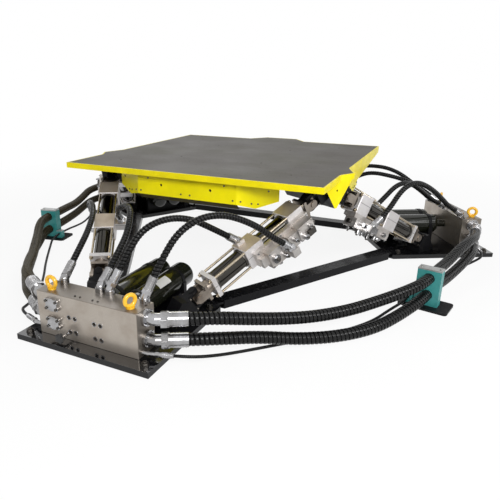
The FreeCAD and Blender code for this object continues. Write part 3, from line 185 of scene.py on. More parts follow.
def paint(name, color, roughness=0.25, coat=0.6, dust=0.12, dirt=None, edge=0.0008, edge_wear_and_highlight=None, shine=0.5,
          strip=None):
    """Sprayed paint: orange-peel bump, faint cloudiness, dirt in patches, and an edge colour that is painted highlight
    where lighter and wear where darker.

    strip is the heading of a base plate, whose top is wiped to a mirror gloss outside the manifold."""
    t = Tree(name)
    cloud = t.noise(7.0, 4.0)
    grime = t.span(t.noise(23.0, 6.0, rough=0.65), 0.52, 0.72)
    deep = tuple(channel * 0.82 for channel in color)
    tone = t.mix(t.span(cloud, 0.3, 0.7), color, deep)
    tone = t.mix(t.math("MULTIPLY", grime, dust), tone, dirt or tuple(channel * 0.45 for channel in color))
    # Edge colour: painted edge highlight where the edge tone is lighter than the paint, wear where it is darker.
    if edge:
        tone = t.mix(t.math("MULTIPLY", t.edge_wear_and_highlight(edge), 0.35), tone,
                     edge_wear_and_highlight or tuple(0.35 * channel + 0.22 for channel in color))
    t.bump(t.noise(420.0, 2.0), 0.06, 0.0006)
    if strip is not None:
        split = t.node("SeparateXYZ")
        t.feed(split.inputs[0], t.place)
        outward = t.math("SUBTRACT", t.math("MULTIPLY", split.outputs["X"], math.sin(math.radians(strip))),
                         t.math("MULTIPLY", split.outputs["Y"], math.cos(math.radians(strip))))
        wiped = t.math("MULTIPLY", t.math("GREATER_THAN", outward, MANIFOLD_FACE + 0.001),
                       t.math("GREATER_THAN", split.outputs["Z"], PLATE_TOP - 0.0003))
        t.feed(t.shader.inputs["Coat Weight"], t.span(wiped, 0.0, 1.0, coat, 0.95))
        t.shader.inputs["Coat IOR"].default_value = 2.3
    return t.finish(tone, t.span(t.noise(31.0, 4.0), 0.35, 0.7, roughness, roughness + 0.16), 0.0,
                    Coat_Weight=coat, Coat_Roughness=0.06, Specular_IOR_Level=shine)


def metal(name, color, roughness=0.3, grain=(1.0, 1.0, 1.0), stain=None, stain_share=0.25, edge=0.0008,
          scratch=0.10, metallic=1.0):
    """Machined metal: brushing along the grain, uneven sheen, faint stains and lighter edges, a painted edge highlight
    broken up by noise like wear.
    """
    t = Tree(name)
    brushed = t.stretched(grain, 260.0, 4.0)
    patch = t.span(t.noise(9.0, 5.0, rough=0.6), 0.42, 0.68)
    bright = tuple(min(channel * 1.12, 1.0) for channel in color)
    dark = tuple(channel * 0.80 for channel in color)
    tone = t.mix(t.span(brushed, 0.25, 0.75), dark, bright)
    tone = t.mix(t.math("MULTIPLY", patch, stain_share), tone, stain or tuple(channel * 0.6 for channel in color))
    # Lighter edges: painted edge highlight, broken up by noise like wear.
    if edge:
        tone = t.mix(t.math("MULTIPLY", t.edge_wear_and_highlight(edge), 0.6), tone,
                     tuple(min(channel * 1.5, 0.95) for channel in color))
    t.bump(brushed, scratch, 0.0004)
    rough = t.math("ADD", t.span(brushed, 0.2, 0.8, roughness - 0.07, roughness + 0.07),
                   t.math("MULTIPLY", patch, 0.08))
    return t.finish(tone, rough, metallic)


def make_deck():
    """Dark grey deck with its faint grid of tapped holes, scuffs and footmarks."""
    t = Tree("deck_coat")
    split = t.node("SeparateXYZ")
    t.feed(split.inputs[0], t.place)
    pitch, hole = 0.100, 0.0042
    from_hole = []
    for axis in ("X", "Y"):
        cell = t.math("FRACT", t.math("ADD", t.math("DIVIDE", split.outputs[axis], pitch), 40.0))
        from_hole.append(t.math("MULTIPLY", t.math("SUBTRACT", cell, 0.5), pitch))
    distance = t.math("SQRT", t.math("ADD", t.math("MULTIPLY", from_hole[0], from_hole[0]),
                                     t.math("MULTIPLY", from_hole[1], from_hole[1])))
    dot = t.span(distance, hole * 0.8, hole * 1.3, 1.0, 0.0)
    scuff = t.span(t.stretched((1.0, 7.0, 1.0), 5.0, 6.0), 0.52, 0.74)
    cloud = t.noise(3.0, 5.0)
    tone = t.mix(t.span(cloud, 0.3, 0.7), (0.050, 0.044, 0.036), (0.086, 0.079, 0.070))
    tone = t.mix(t.span(t.noise(1.6, 3.0), 0.42, 0.66, 0.0, 0.5), tone, (0.070, 0.070, 0.045))
    tone = t.mix(t.math("MULTIPLY", scuff, 0.30), tone, (0.125, 0.115, 0.103))
    tone = t.mix(t.math("MULTIPLY", dot, 0.92), tone, (0.012, 0.012, 0.012))
    height = t.math("SUBTRACT", t.math("MULTIPLY", t.noise(650.0, 2.0), 0.25), t.math("MULTIPLY", dot, 3.0))
    t.bump(height, 0.25, 0.0008)
    return t.finish(tone, t.span(cloud, 0.3, 0.7, 0.42, 0.6), Specular_IOR_Level=0.12)


def make_hose(name, tint, roughness=0.24, shine=0.5):
    """Black plastic or rubber of the hoses, rubbed in places."""
    t = Tree(name)
    rub = t.span(t.noise(60.0, 5.0, rough=0.7), 0.5, 0.75)
    tone = t.mix(t.math("MULTIPLY", rub, 0.5), tint, tuple(channel * 2.4 for channel in tint))
    t.bump(t.noise(900.0, 3.0), 0.12, 0.0004)
    return t.finish(tone, t.span(t.noise(45.0, 3.0), 0.3, 0.7, roughness, roughness + 0.15), 0.0,
                    Specular_IOR_Level=shine)


def tilted(origin, level, across, tilt):
    x_axis = level * math.cos(tilt) + UP * math.sin(tilt)
    made = Matrix((x_axis, across, x_axis.cross(across))).transposed().to_4x4()
    made.translation = origin
    return made


def pivot_frame(number, across, rise, tilt):
    """X tilted up towards the other pivot, Y level and outward or inward, Z the upper normal."""
    ear, side = LEGS[number - 1]
    out = heading(ear)
    along = UP.cross(out)
    return tilted(out * PIVOT_OUT + along * side * across + UP * rise, along * -side, out * side, tilt)


def leg_frame(number):
    """The leg's own frame: origin at its lower pivot, X up the leg."""
    return pivot_frame(number, LOWER_ACROSS, LOWER_RISE, LEG_TILT)


def make_block_finish(number):
    """Pale machined aluminium with the seam along each side face, in the leg's own frame."""
    t = Tree(f"block_aluminium_{number}")
    inverse = leg_frame(number).inverted()
    mapping = t.node("Mapping")
    t.feed(mapping.inputs["Vector"], t.place)
    mapping.inputs["Location"].default_value = inverse.to_translation()
    mapping.inputs["Rotation"].default_value = inverse.to_euler()
    own = mapping.outputs["Vector"]
    split = t.node("SeparateXYZ")
    t.feed(split.inputs[0], own)
    seam = t.span(t.math("ABSOLUTE", t.math("SUBTRACT", split.outputs["Z"], 0.006)), 0.0008, 0.0018, 1.0, 0.0)
    on_side = t.math("GREATER_THAN", t.math("ABSOLUTE", split.outputs["Y"]), 0.0605)
    seam = t.math("MULTIPLY", seam, on_side)
    brushed = t.stretched((1.0, 14.0, 14.0), 90.0, 4.0, own)
    patch = t.span(t.noise(14.0, 5.0, own, 0.65), 0.45, 0.7)
    tone = t.mix(t.span(brushed, 0.25, 0.75), (0.58, 0.56, 0.56), (0.72, 0.70, 0.70))
    tone = t.mix(t.math("MULTIPLY", patch, 0.3), tone, (0.45, 0.41, 0.37))
    tone = t.mix(t.math("MULTIPLY", seam, 0.85), tone, (0.05, 0.05, 0.05))
    # Lighter edges: painted edge highlight, broken up by noise like wear.
    tone = t.mix(t.math("MULTIPLY", t.edge_wear_and_highlight(0.0015), 0.6), tone, (0.86, 0.85, 0.83))
    t.bump(t.math("SUBTRACT", brushed, t.math("MULTIPLY", seam, 3.0)), 0.12, 0.0006)
    return t.finish(tone, t.span(brushed, 0.2, 0.8, 0.36, 0.48), 0.45)


yellow = paint("yellow_gloss", (0.95, 0.80, 0.002), 0.30, 0.06, 0.05, (0.60, 0.45, 0.01), edge_wear_and_highlight=(0.75, 0.66, 0.15),
               shine=0.15)
# The skirts take a brighter copy of the yellow paint: painted light.
skirt_yellow_painted_light = paint("skirt_gloss_painted_light", (1.0, 0.87, 0.002), 0.28, 0.06, 0.04, (0.60, 0.45, 0.01),
                     edge_wear_and_highlight=(0.80, 0.70, 0.15), shine=0.15)
# Dark olive for the pan strips under the skirts: painted shade.
pan_strip_painted_shade = paint("pan_strip_painted_shade", (0.055, 0.042, 0.005), 0.5, 0.0, 0.3, (0.03, 0.024, 0.005), shine=0.05)
plate_black = [paint(f"plate_gloss_{degrees}", (0.005, 0.005, 0.006), 0.07, 0.18, 0.2, (0.014, 0.013, 0.012),
                     edge_wear_and_highlight=(0.10, 0.10, 0.10), shine=0.05, strip=degrees) for degrees in STATIONS]
frame_black = paint("beam_gloss", (0.004, 0.004, 0.005), 0.16, 0.10, 0.2, (0.016, 0.015, 0.014),
                    edge_wear_and_highlight=(0.16, 0.16, 0.16), shine=0.08)
satin_black = paint("black_satin", (0.006, 0.006, 0.007), 0.34, 0.03, 0.3, (0.022, 0.020, 0.018),
                    edge_wear_and_highlight=(0.09, 0.085, 0.08), shine=0.12)
bottle_black = paint("bottle_gloss", (0.009, 0.010, 0.006), 0.08, 0.45, 0.25, (0.03, 0.03, 0.022), edge=0.0, shine=0.2)
orange = paint("orange_gloss", (0.92, 0.50, 0.012), 0.25, 0.5, 0.15, (0.45, 0.16, 0.01))
teal = paint("clamp_teal", (0.035, 0.27, 0.26), 0.42, 0.1, 0.35, (0.02, 0.12, 0.12))
knob_black = paint("knob_moulded", (0.02, 0.02, 0.02), 0.5, 0.0, 0.4, (0.06, 0.06, 0.06))
deck_coat = make_deck()
warm_steel = metal("manifold_brushed", (0.45, 0.405, 0.355), 0.30, (10.0, 10.0, 0.6), (0.26, 0.205, 0.16), 0.45,
                   metallic=0.8)
# The manifolds' other faces: a darker copy of the brushed metal, painted shade, with the grain turned across.
manifold_shaded_steel = metal("manifold_painted_shade", (0.225, 0.202, 0.176), 0.34, (0.6, 10.0, 10.0), (0.17, 0.14, 0.11), 0.45,
                   metallic=0.8)
zinc = metal("zinc_plate", (0.46, 0.46, 0.47), 0.20, (3.0, 3.0, 3.0), (0.16, 0.15, 0.14), 0.7)
chrome = metal("hard_chrome", (0.62, 0.62, 0.63), 0.10, (1.0, 1.0, 1.0), (0.3, 0.3, 0.3), 0.2, 0.0, 0.03)
mirror_barrel = metal("honed_barrel", (0.065, 0.062, 0.056), 0.10, (1.0, 1.0, 1.0), (0.04, 0.035, 0.03), 0.5, 0.0,
                      0.02)
bronze = metal("tie_steel", (0.52, 0.45, 0.35), 0.17, (2.0, 2.0, 2.0), (0.25, 0.18, 0.10), 0.35, 0.0)
fork_steel = metal("fork_machined", (0.33, 0.29, 0.25), 0.30, (2.0, 2.0, 2.0), (0.12, 0.09, 0.07), 0.5)
cross_steel = metal("cross_machined", (0.30, 0.25, 0.21), 0.34, (2.0, 2.0, 2.0), (0.14, 0.10, 0.07), 0.5)
valve_aluminium = metal("valve_machined", (0.62, 0.59, 0.565), 0.33, (3.0, 3.0, 3.0), (0.30, 0.25, 0.21), 0.5,
                        metallic=0.75)
# Tan copy of the blocks' metal for their upward faces: painted warm light.
tan_top_painted_light = metal("block_top_painted_light", (0.58, 0.50, 0.41), 0.40, (2.0, 2.0, 2.0), (0.36, 0.28, 0.20), 0.5, metallic=0.6)
bolt_steel = metal("bolt_black_oxide", (0.09, 0.085, 0.08), 0.36, (2.0, 2.0, 2.0), (0.2, 0.17, 0.13), 0.4, 0.0)
plate_steel = metal("cover_plate", (0.42, 0.43, 0.43), 0.38, (2.0, 2.0, 2.0), (0.25, 0.23, 0.2), 0.4)
hose_black = make_hose("spiral_guard", (0.007, 0.007, 0.007), 0.16, 0.2)
# Olive copy of the black hose for the CA hoses: painted warm reflection.
hose_painted_reflection = make_hose("spiral_guard_painted_reflection", (0.036, 0.028, 0.013), 0.34, 0.12)
# Grooves of the spiral guard: matte, and darker than the bands as painted shade.
hose_groove_shade = make_hose("hose_groove_painted_shade", (0.003, 0.003, 0.003), 0.8, 0.0)
label_white = paint("blank_patch", (0.62, 0.62, 0.60), 0.55, 0.0, 0.3, (0.3, 0.3, 0.29), 0.0)


# Finishes of the CAD nodes

def dress(name, *finishes, choose=None):
    """Give a CAD node its finishes; choose(centre, normal) says which of them a polygon takes."""
    holder = nodes[name]
    mesh = holder.data
    mesh.materials.clear()
    for finish in finishes:
        mesh.materials.append(finish)
    if not choose:
        return
    turn = holder.matrix_world.to_3x3()
    for polygon in mesh.polygons:
        polygon.material_index = choose(holder.matrix_world @ polygon.center, (turn @ polygon.normal).normalized())


def on_ear(centre, normal):
    """The end shield of an ear is yellow outside."""
    return int(any(normal.dot(heading(ear)) > 0.95 and centre.dot(heading(ear)) > 0.97 for ear in EARS))


def station_of(centre):
    """A place turned back to station A, whichever station it belongs to."""
    return min((turned(-degrees) @ centre for degrees in STATIONS), key=lambda place: place.y)


def on_manifold(degrees):
    """The outer face is polished; the others are duller, in a darker copy of the metal that is painted shade."""
    out = turned(degrees, 3) @ Vector((0, -1, 0))
    return lambda centre, normal: 0 if abs(normal.dot(out)) > 0.9 and centre.dot(out) > 1.6 else 1


def on_skirt(centre, normal):
    """The pan strip under a skirt is painted dark olive as shade, and the panels' inner faces are black."""
    own = station_of(centre)
    # Pan strip: painted shade.
    if 0.5 < centre.z < 0.536 and abs(own.x) < 0.341 and own.y > -0.7849:
        return 2
    return 1 if normal.dot(Vector((centre.x, centre.y, 0)).normalized()) < -0.5 else 0


def on_bottles(centre, normal):
    """Saddles and straps are satin black; the bottles are gloss black."""
    own = station_of(centre)
    return 1 if min(math.hypot(own.x - side, own.z - BOTTLE_RISE) for side in BOTTLE_SIDES) > 0.0711 else 0


def near_stub(own, start):
    """Whether a place in the leg's frame lies on the hose fitting that leans back from this start."""
    lean = math.radians(31.5)
    toward = Vector((-math.sin(lean), 0, math.cos(lean)))
    way = own - Vector(start)
    along = way.dot(toward)
    return along > 0.0005 and (way - toward * along).length < 0.0213


def on_cylinder(number):
    inverse = leg_frame(number).inverted()
    stub = (0.435, -0.100, 0.020) if LEGS[number - 1][1] > 0 else (0.375, 0.035, 0.075)

    def choose(centre, normal):
        own = inverse @ centre
        if near_stub(own, stub):
            return 5
        if own.x < 0.1203:
            return 3 if own.x < 0.0945 else 0
        if math.hypot(own.y, own.z) < 0.0525 and own.x < 0.6585:
            return 1
        if math.hypot(abs(own.y) - 0.051, abs(own.z) - 0.051) < 0.00705:
            return 2
        # Faces turned up take the tan copy: painted warm light.
        return 4 if (inverse.to_3x3() @ normal).z > 0.95 else 0
    return choose


def on_rod(number):
    inverse = leg_frame(number).inverted()
    return lambda centre, normal: 1 if (inverse @ centre).x > LEG_LENGTH - 0.0645 else 0


def valve_placement(number):
    """A valve manifold's own frame, +Y away from the cylinder."""
    turn = Matrix.Rotation(math.radians(90), 4, "X") if LEGS[number - 1][1] > 0 else Matrix.Identity(4)
    return leg_frame(number) @ turn @ Matrix.Diagonal((1, -1, 1, 1))


def on_valve(number):
    """Cartridges, plugs and the hose fitting are zinc plated."""
    to_leg, to_valve = leg_frame(number).inverted(), valve_placement(number).inverted()
    stub = (0.640, 0.115, -0.100) if LEGS[number - 1][1] > 0 else (0.557, -0.165, -0.045)

    def choose(centre, normal):
        if near_stub(to_leg @ centre, stub):
            return 1
        own = to_valve @ centre
        face = 0.1505 if own.x > 0.640 else 0.1325 if own.x > 0.572 else 0.1365
        plug = own.z < (-0.0725 if own.x > 0.640 else -0.0845 if own.x > 0.572 else -0.0965)
        in_port = own.x > 0.534 and own.x < 0.586 and own.z > -0.0925 and own.z < -0.0445
        return 1 if (own.y > face or plug) and not in_port else 0
    return choose


def on_stand(centre, normal):
    """Black foot, teal blocks and steel covers."""
    if centre.z < 0.0121:
        return 1
    return 2 if centre.z > 0.2219 or (0.0661 < centre.z < 0.0702 and abs(centre.x) < 1.34) else 0


dress("table_deck", deck_coat, satin_black, choose=lambda centre, normal: 0 if normal.z > -0.5 else 1)
dress("table_rim", yellow)
dress("platform_skirts", skirt_yellow_painted_light, satin_black, pan_strip_painted_shade, choose=on_skirt)
dress("platform_ears", satin_black, yellow, choose=on_ear)
dress("platform_forks", satin_black)
dress("upper_crosses", cross_steel)
dress("base_forks", satin_black)
dress("lower_crosses", cross_steel)
for name, degrees, plate in zip("abc", STATIONS, plate_black):
    dress(f"base_plate_{name}", plate)
    dress(f"manifold_{name}", warm_steel, manifold_shaded_steel, choose=on_manifold(degrees))
for name in ("ab", "bc", "ca"):
    dress(f"frame_beam_{name}", frame_black)
dress("accumulators", bottle_black, satin_black, choose=on_bottles)
dress("port_fittings", zinc)
dress("bleed_knob", knob_black)
for number in range(1, 7):
    dress(f"lifting_eye_{number}", orange)
    dress(f"cylinder_{number}", make_block_finish(number), mirror_barrel, bronze, fork_steel, tan_top_painted_light, zinc,
          choose=on_cylinder(number))
    dress(f"rod_{number}", chrome, fork_steel, choose=on_rod(number))
    dress(f"valve_block_{number}", valve_aluminium, zinc, choose=on_valve(number))
for name in ("ab", "ca"):
    dress(f"clamp_stand_{name}", teal, satin_black, plate_steel, choose=on_stand)


# Hoses: the routes' points from the part's source, in metres

SUPPLY = {
    "supply_hose_ab_upper": [
        (0.4749, -1.605, 0.215), (0.5875, -1.54, 0.215), (0.7327, -1.3876, 0.172), (0.905, -1.2095, 0.135),
        (1.0636, -1.0198, 0.122), (1.1946, -0.8471, 0.133), (1.3027, -0.7199, 0.155), (1.3881, -0.5978, 0.175),
        (1.4319, -0.3822, 0.175), (1.4808, -0.2214, 0.18), (1.5384, -0.0491, 0.216), (1.593, 0.1171, 0.236),
        (1.6274, 0.2612, 0.215), (1.6274, 0.3912, 0.215)],
    "supply_hose_ab_lower": [
        (0.4749, -1.605, 0.108), (0.5875, -1.54, 0.108), (0.7343, -1.3889, 0.078), (0.8976, -1.26, 0.042),
        (1.0625, -1.1324, 0.035), (1.2001, -0.9735, 0.035), (1.2939, -0.7936, 0.046), (1.3881, -0.5978, 0.075),
        (1.4319, -0.3822, 0.075), (1.4808, -0.2214, 0.064), (1.5384, -0.0491, 0.078), (1.593, 0.1171, 0.104),
        (1.6274, 0.2612, 0.108), (1.6274, 0.3912, 0.108)],
    "supply_hose_ca_upper": [
        (-0.4749, -1.605, 0.215), (-0.5875, -1.54, 0.215), (-0.7297, -1.385, 0.186), (-0.8898, -1.1966, 0.164),
        (-1.041, -1.0248, 0.156), (-1.1826, -0.8613, 0.152), (-1.2977, -0.7319, 0.164), (-1.3881, -0.5978, 0.175),
        (-1.4319, -0.3822, 0.175), (-1.4808, -0.2214, 0.17), (-1.5384, -0.0491, 0.16), (-1.593, 0.1171, 0.178),
        (-1.6274, 0.2612, 0.215), (-1.6274, 0.3912, 0.215)],
    "supply_hose_ca_lower": [
        (-0.4749, -1.605, 0.108), (-0.5875, -1.54, 0.108), (-0.7234, -1.4202, 0.076), (-0.8578, -1.2991, 0.044),
        (-0.9836, -1.1789, 0.035), (-1.1027, -1.0449, 0.035), (-1.2131, -0.8872, 0.038), (-1.3008, -0.7345, 0.055),
        (-1.3881, -0.5978, 0.075), (-1.4319, -0.3822, 0.075), (-1.4808, -0.2214, 0.074), (-1.5384, -0.0491, 0.074),
        (-1.593, 0.1171, 0.088), (-1.6274, 0.2612, 0.108), (-1.6274, 0.3912, 0.108)],
}
DRAIN = {
    "drain_line_ab": [
        (0.4444, -1.6895, 0.06), (0.5252, -1.6632, 0.06), (0.6052, -1.56, 0.036), (0.6756, -1.4498, 0.016),
        (0.7774, -1.3303, 0.009), (0.8912, -1.2113, 0.009), (1.0039, -1.0836, 0.009), (1.1064, -0.9564, 0.009),
        (1.1836, -0.835, 0.015), (1.2347, -0.7189, 0.03), (1.2931, -0.6081, 0.045), (1.337, -0.3925, 0.045),
        (1.3812, -0.2437, 0.026), (1.4317, -0.0932, 0.009), (1.4913, 0.0529, 0.009), (1.5608, 0.1897, 0.014),
        (1.6428, 0.2922, 0.036), (1.703, 0.3768, 0.06), (1.6853, 0.4599, 0.06)],
    "drain_line_ca": [
        (-0.4444, -1.6895, 0.06), (-0.5252, -1.6632, 0.06), (-0.5846, -1.5612, 0.034), (-0.6492, -1.4419, 0.012),
        (-0.7495, -1.2938, 0.009), (-0.8588, -1.1555, 0.009), (-0.9763, -1.0231, 0.009), (-1.0888, -0.8871, 0.009),
        (-1.188, -0.7543, 0.022), (-1.2931, -0.6081, 0.045), (-1.337, -0.3925, 0.045), (-1.3812, -0.2437, 0.026),
        (-1.4317, -0.0932, 0.009), (-1.4913, 0.0529, 0.009), (-1.5608, 0.1897, 0.014), (-1.6428, 0.2922, 0.036),
        (-1.703, 0.3768, 0.06), (-1.6853, 0.4599, 0.06)],
}
LEG_HOSES = {
    1: (6, [(-0.2423, -1.5381, 0.341), (-0.2567, -1.4558, 0.395), (-0.2952, -1.3408, 0.445),
            (-0.3526, -1.2271, 0.487), (-0.4281, -1.1241, 0.512), (-0.514, -1.037, 0.512),
            (-0.5914, -0.9644, 0.484), (-0.6558, -0.8942, 0.4366), (-0.6901, -0.8348, 0.3954)]),
    2: (6, [(-0.0049, -1.5399, 0.3453), (-0.01, -1.4502, 0.41), (-0.03, -1.3503, 0.465), (-0.0698, -1.2599, 0.52),
            (-0.13, -1.17, 0.55), (-0.1997, -1.1102, 0.545), (-0.2849, -1.0701, 0.515), (-0.351, -0.9921, 0.4485),
            (-0.3852, -0.9327, 0.4073)]),
    3: (1, [(0.0858, -1.5772, 0.3733), (0.1113, -1.5334, 0.455), (0.1453, -1.4752, 0.54), (0.19, -1.3982, 0.578),
            (0.2424, -1.3083, 0.582), (0.2923, -1.2226, 0.555), (0.3273, -1.1624, 0.517),
            (0.3679, -1.0927, 0.4696), (0.4022, -1.0333, 0.4284)]),
    4: (1, [(0.2843, -1.5818, 0.3757), (0.3139, -1.5351, 0.475), (0.3571, -1.4669, 0.573), (0.4195, -1.3683, 0.622),
            (0.4847, -1.2653, 0.617), (0.5436, -1.1723, 0.575), (0.6005, -1.0824, 0.517),
            (0.6496, -1.0049, 0.4471), (0.6839, -0.9455, 0.4059)]),
    5: (3, [(1.1942, 1.0385, 0.3461), (1.1138, 1.0418, 0.405), (1.0148, 1.0458, 0.466), (0.9041, 1.0504, 0.501),
            (0.7889, 1.0551, 0.505), (0.6793, 1.0595, 0.492), (0.5455, 1.065, 0.4471), (0.4769, 1.065, 0.4059)]),
    6: (3, [(1.29, 0.8631, 0.3409), (1.2169, 0.8633, 0.388), (1.1288, 0.8636, 0.43), (1.0364, 0.864, 0.456),
            (0.9422, 0.8643, 0.472), (0.8529, 0.8647, 0.482), (0.7623, 0.865, 0.4696), (0.6938, 0.865, 0.4284)]),
    7: (2, [(1.3567, 0.7282, 0.3209), (1.3141, 0.6574, 0.352), (1.262, 0.5706, 0.412), (1.2135, 0.4899, 0.468),
            (1.1688, 0.4155, 0.51), (1.1222, 0.3379, 0.526), (1.0775, 0.2635, 0.506), (1.0347, 0.1921, 0.4485),
            (1.0004, 0.1327, 0.4073)]),
    8: (2, [(1.4736, 0.5328, 0.3275), (1.4329, 0.4612, 0.365), (1.3869, 0.3802, 0.43), (1.3366, 0.2917, 0.495),
            (1.2822, 0.196, 0.55), (1.232, 0.1076, 0.583), (1.186, 0.0265, 0.578), (1.1462, -0.0435, 0.535),
            (1.1023, -0.1208, 0.4366), (1.068, -0.1802, 0.3954)]),
}


def smooth_line(name, points):
    """The route's NURBS line, as points close together."""
    curve = bpy.data.curves.new(name + "_line", "CURVE")
    curve.dimensions = "3D"
    curve.resolution_u = 24
    spline = curve.splines.new("NURBS")
    spline.points.add(len(points) - 1)
    for point, place in zip(spline.points, points):
        point.co = (*place, 1.0)
    spline.order_u = 3
    spline.use_endpoint_u = True
    holder = bpy.data.objects.new(name + "_line", curve)
    mesh = bpy.data.meshes.new_from_object(holder)
    line = [vertex.co.copy() for vertex in mesh.vertices]
    bpy.data.objects.remove(holder)
    bpy.data.meshes.remove(mesh)
    bpy.data.curves.remove(curve)
    return line


def resampled(line, step):
    """Points at an even step along a line, its ends kept."""
    lengths = [0.0]
    for a, b in zip(line, line[1:]):
        lengths.append(lengths[-1] + (b - a).length)
    count = max(2, round(lengths[-1] / step))
    made, k = [], 0
    for index in range(count + 1):
        goal = lengths[-1] * index / count
        while k < len(lengths) - 2 and lengths[k + 1] < goal:
            k += 1
        part = (goal - lengths[k]) / max(lengths[k + 1] - lengths[k], 1e-9)
        made.append(line[k].lerp(line[k + 1], min(max(part, 0.0), 1.0)))
    return made, lengths[-1]


def guard(turns):
    """Height of the spiral guard's band at a part of a turn: a rounded band, then a narrow groove."""
    turns %= 1.0
    if turns > 0.74:
        return 0.0
    return min(1.0, 3.2 * math.sqrt(max(0.0, math.sin(math.pi * turns / 0.74)) / 3.2))


def make_tube(name, line, length, radius, pitch, depth, sides, finish):
    """A hose with a spiral guard: rings along its line whose radius follows the helix."""
    rings = []
    direction = (line[1] - line[0]).normalized()
    normal = direction.orthogonal().normalized()
    count = len(line)
    step = length / (count - 1)
    for k, place in enumerate(line):
        ahead = (line[min(k + 1, count - 1)] - line[max(k - 1, 0)]).normalized()
        normal = (normal - ahead * normal.dot(ahead)).normalized()
        across = ahead.cross(normal)
        for j in range(sides):
            angle = 2 * math.pi * j / sides
            ridge = guard(k * step / pitch - j / sides)
            reach = radius - depth * (1 - ridge)
            rings.append(place + (normal * math.cos(angle) + across * math.sin(angle)) * reach)
    faces = [(k * sides + j, k * sides + (j + 1) % sides, (k + 1) * sides + (j + 1) % sides, (k + 1) * sides + j)
             for k in range(count - 1) for j in range(sides)]
    faces.append(tuple(reversed(range(sides))))
    faces.append(tuple((count - 1) * sides + j for j in range(sides)))
    mesh = bpy.data.meshes.new(name)
    mesh.from_pydata(rings, [], faces)
    mesh.polygons.foreach_set("use_smooth", [True] * len(mesh.polygons))
    mesh.materials.append(finish)
    mesh.materials.append(hose_groove_shade)
    # Groove polygons take the darker matte finish: painted shade in the grooves.
    for index, polygon in enumerate(mesh.polygons[:-2]):
        k, j = divmod(index, sides)
        polygon.material_index = int(guard((k + 0.5) * step / pitch - (j + 0.5) / sides) < 0.25)
    mesh.update()
    piece = bpy.data.objects.new(name, mesh)
    link(piece)
    return piece


def make_cord(name, node, points, radius, pitch, depth, sides, finish):
    line, length = resampled(smooth_line(name, points), pitch / 9)
    piece = make_tube(name, line, length, radius, pitch, depth, sides, finish)
    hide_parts(node)
    tuple(points[0])
    [tuple(place) for place in line[::3] + [line[-1]]]
    return piece


for node, points in SUPPLY.items():
    # The CA hoses take the olive copy: painted warm reflection.
    piece = make_cord(node.replace("supply", "guarded"), node, points, 0.031, 0.022, 0.0030, 28,
                      hose_painted_reflection if "_ca_" in node else hose_black)
    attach(piece, "base")
for node, points in DRAIN.items():
    piece = make_cord(node.replace("line", "tube"), node, points, 0.008, 0.009, 0.0008, 12, hose_black)
    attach(piece, "base")
for number, (leg, points) in LEG_HOSES.items():
    piece = make_cord(f"arch_hose_{number}", f"leg_hose_{number}", points, 0.017, 0.0180, 0.0026, 20, hose_black)
    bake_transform(piece)


# Small hardware

class Stock:
    """Collects small solids that ride on one body and share a finish into one piece."""

    def __init__(self, name, body, slot, finish, bevel=0.0008):
        self.name, self.body, self.slot, self.finish, self.bevel = name, body, slot, finish, bevel
        self.bm = bmesh.new()

    def row(self, origin, axis, reach, rise, sides, turn=0.0):
        """Corners of a regular polygon round the axis, at this rise above the origin."""
        axis = axis.normalized()
        x_axis = axis.orthogonal().normalized()
        y_axis = axis.cross(x_axis)
        angles = [turn + 2 * math.pi * k / sides for k in range(sides)]
        return [self.bm.verts.new(origin + axis * rise + (x_axis * math.cos(angle) + y_axis * math.sin(angle)) * reach)
                for angle in angles]

    def prism(self, origin, axis, radius, height, sides=24, turn=0.0, top=None):
        """A bar with so many sides from the origin along the axis; top is its radius at the far end."""
        rows = [self.row(origin, axis, reach, rise, sides, turn)
                for reach, rise in ((radius, 0.0), (top or radius, height))]
        for k in range(sides):
            face = self.bm.faces.new((rows[0][k], rows[0][(k + 1) % sides], rows[1][(k + 1) % sides], rows[1][k]))
            face.smooth = sides > 8
        self.bm.faces.new(list(reversed(rows[0])))
        self.bm.faces.new(rows[1])

    def ring(self, origin, axis, outer, inner, height, sides=32):
        """A washer or collar."""
        rows = [self.row(origin, axis, reach, rise, sides)
                for reach, rise in ((inner, 0.0), (outer, 0.0), (outer, height), (inner, height))]
        for r in range(4):
            low, high = rows[r], rows[(r + 1) % 4]
            for k in range(sides):
                face = self.bm.faces.new((low[k], low[(k + 1) % sides], high[(k + 1) % sides], high[k]))
                face.smooth = r % 2 == 1

    def box(self, placement, low, high):
        spots = [self.bm.verts.new(placement @ Vector((x, y, z))) for z in (low[2], high[2])
                 for y in (low[1], high[1]) for x in (low[0], high[0])]
        for quad in ((0, 2, 3, 1), (4, 5, 7, 6), (0, 1, 5, 4), (2, 6, 7, 3), (0, 4, 6, 2), (1, 3, 7, 5)):
            self.bm.faces.new([spots[k] for k in quad])

    def bolt(self, origin, axis, radius, height, washer=True):
        """A socket-head screw: washer, head and the rim round its socket."""
        if washer:
            self.prism(origin, axis, radius * 1.35, height * 0.16)
        self.prism(origin + axis * height * 0.1, axis, radius, height * 0.8)
        self.ring(origin + axis * height * 0.88, axis, radius * 0.97, radius * 0.5, height * 0.14, 18)

    def nut(self, origin, axis, across, height, turn=0.0):
        """A hexagon nut on its stud, with a washer."""
        self.prism(origin, axis, across * 0.66, height * 0.18, 20)
        self.prism(origin + axis * height * 0.15, axis, across * 0.577, height * 0.8, 6, turn)
        self.prism(origin + axis * height * 0.9, axis, across * 0.33, height * 0.35, 14)

    def done(self):
        mesh = bpy.data.meshes.new(self.name)
        bmesh.ops.recalc_face_normals(self.bm, faces=self.bm.faces)
        self.bm.to_mesh(mesh)
        self.bm.free()
        mesh.materials.append(self.finish)
        piece = bpy.data.objects.new(self.name, mesh)
        link(piece)
        if self.bevel:
            soften = piece.modifiers.new("edges", "BEVEL")
            soften.width = self.bevel
            soften.segments = 2
            soften.limit_method = "ANGLE"
            soften.angle_limit = math.radians(50)
        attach(piece, self.body)


def x_axis_of(placement):
    return placement.to_3x3().col[0].normalized()


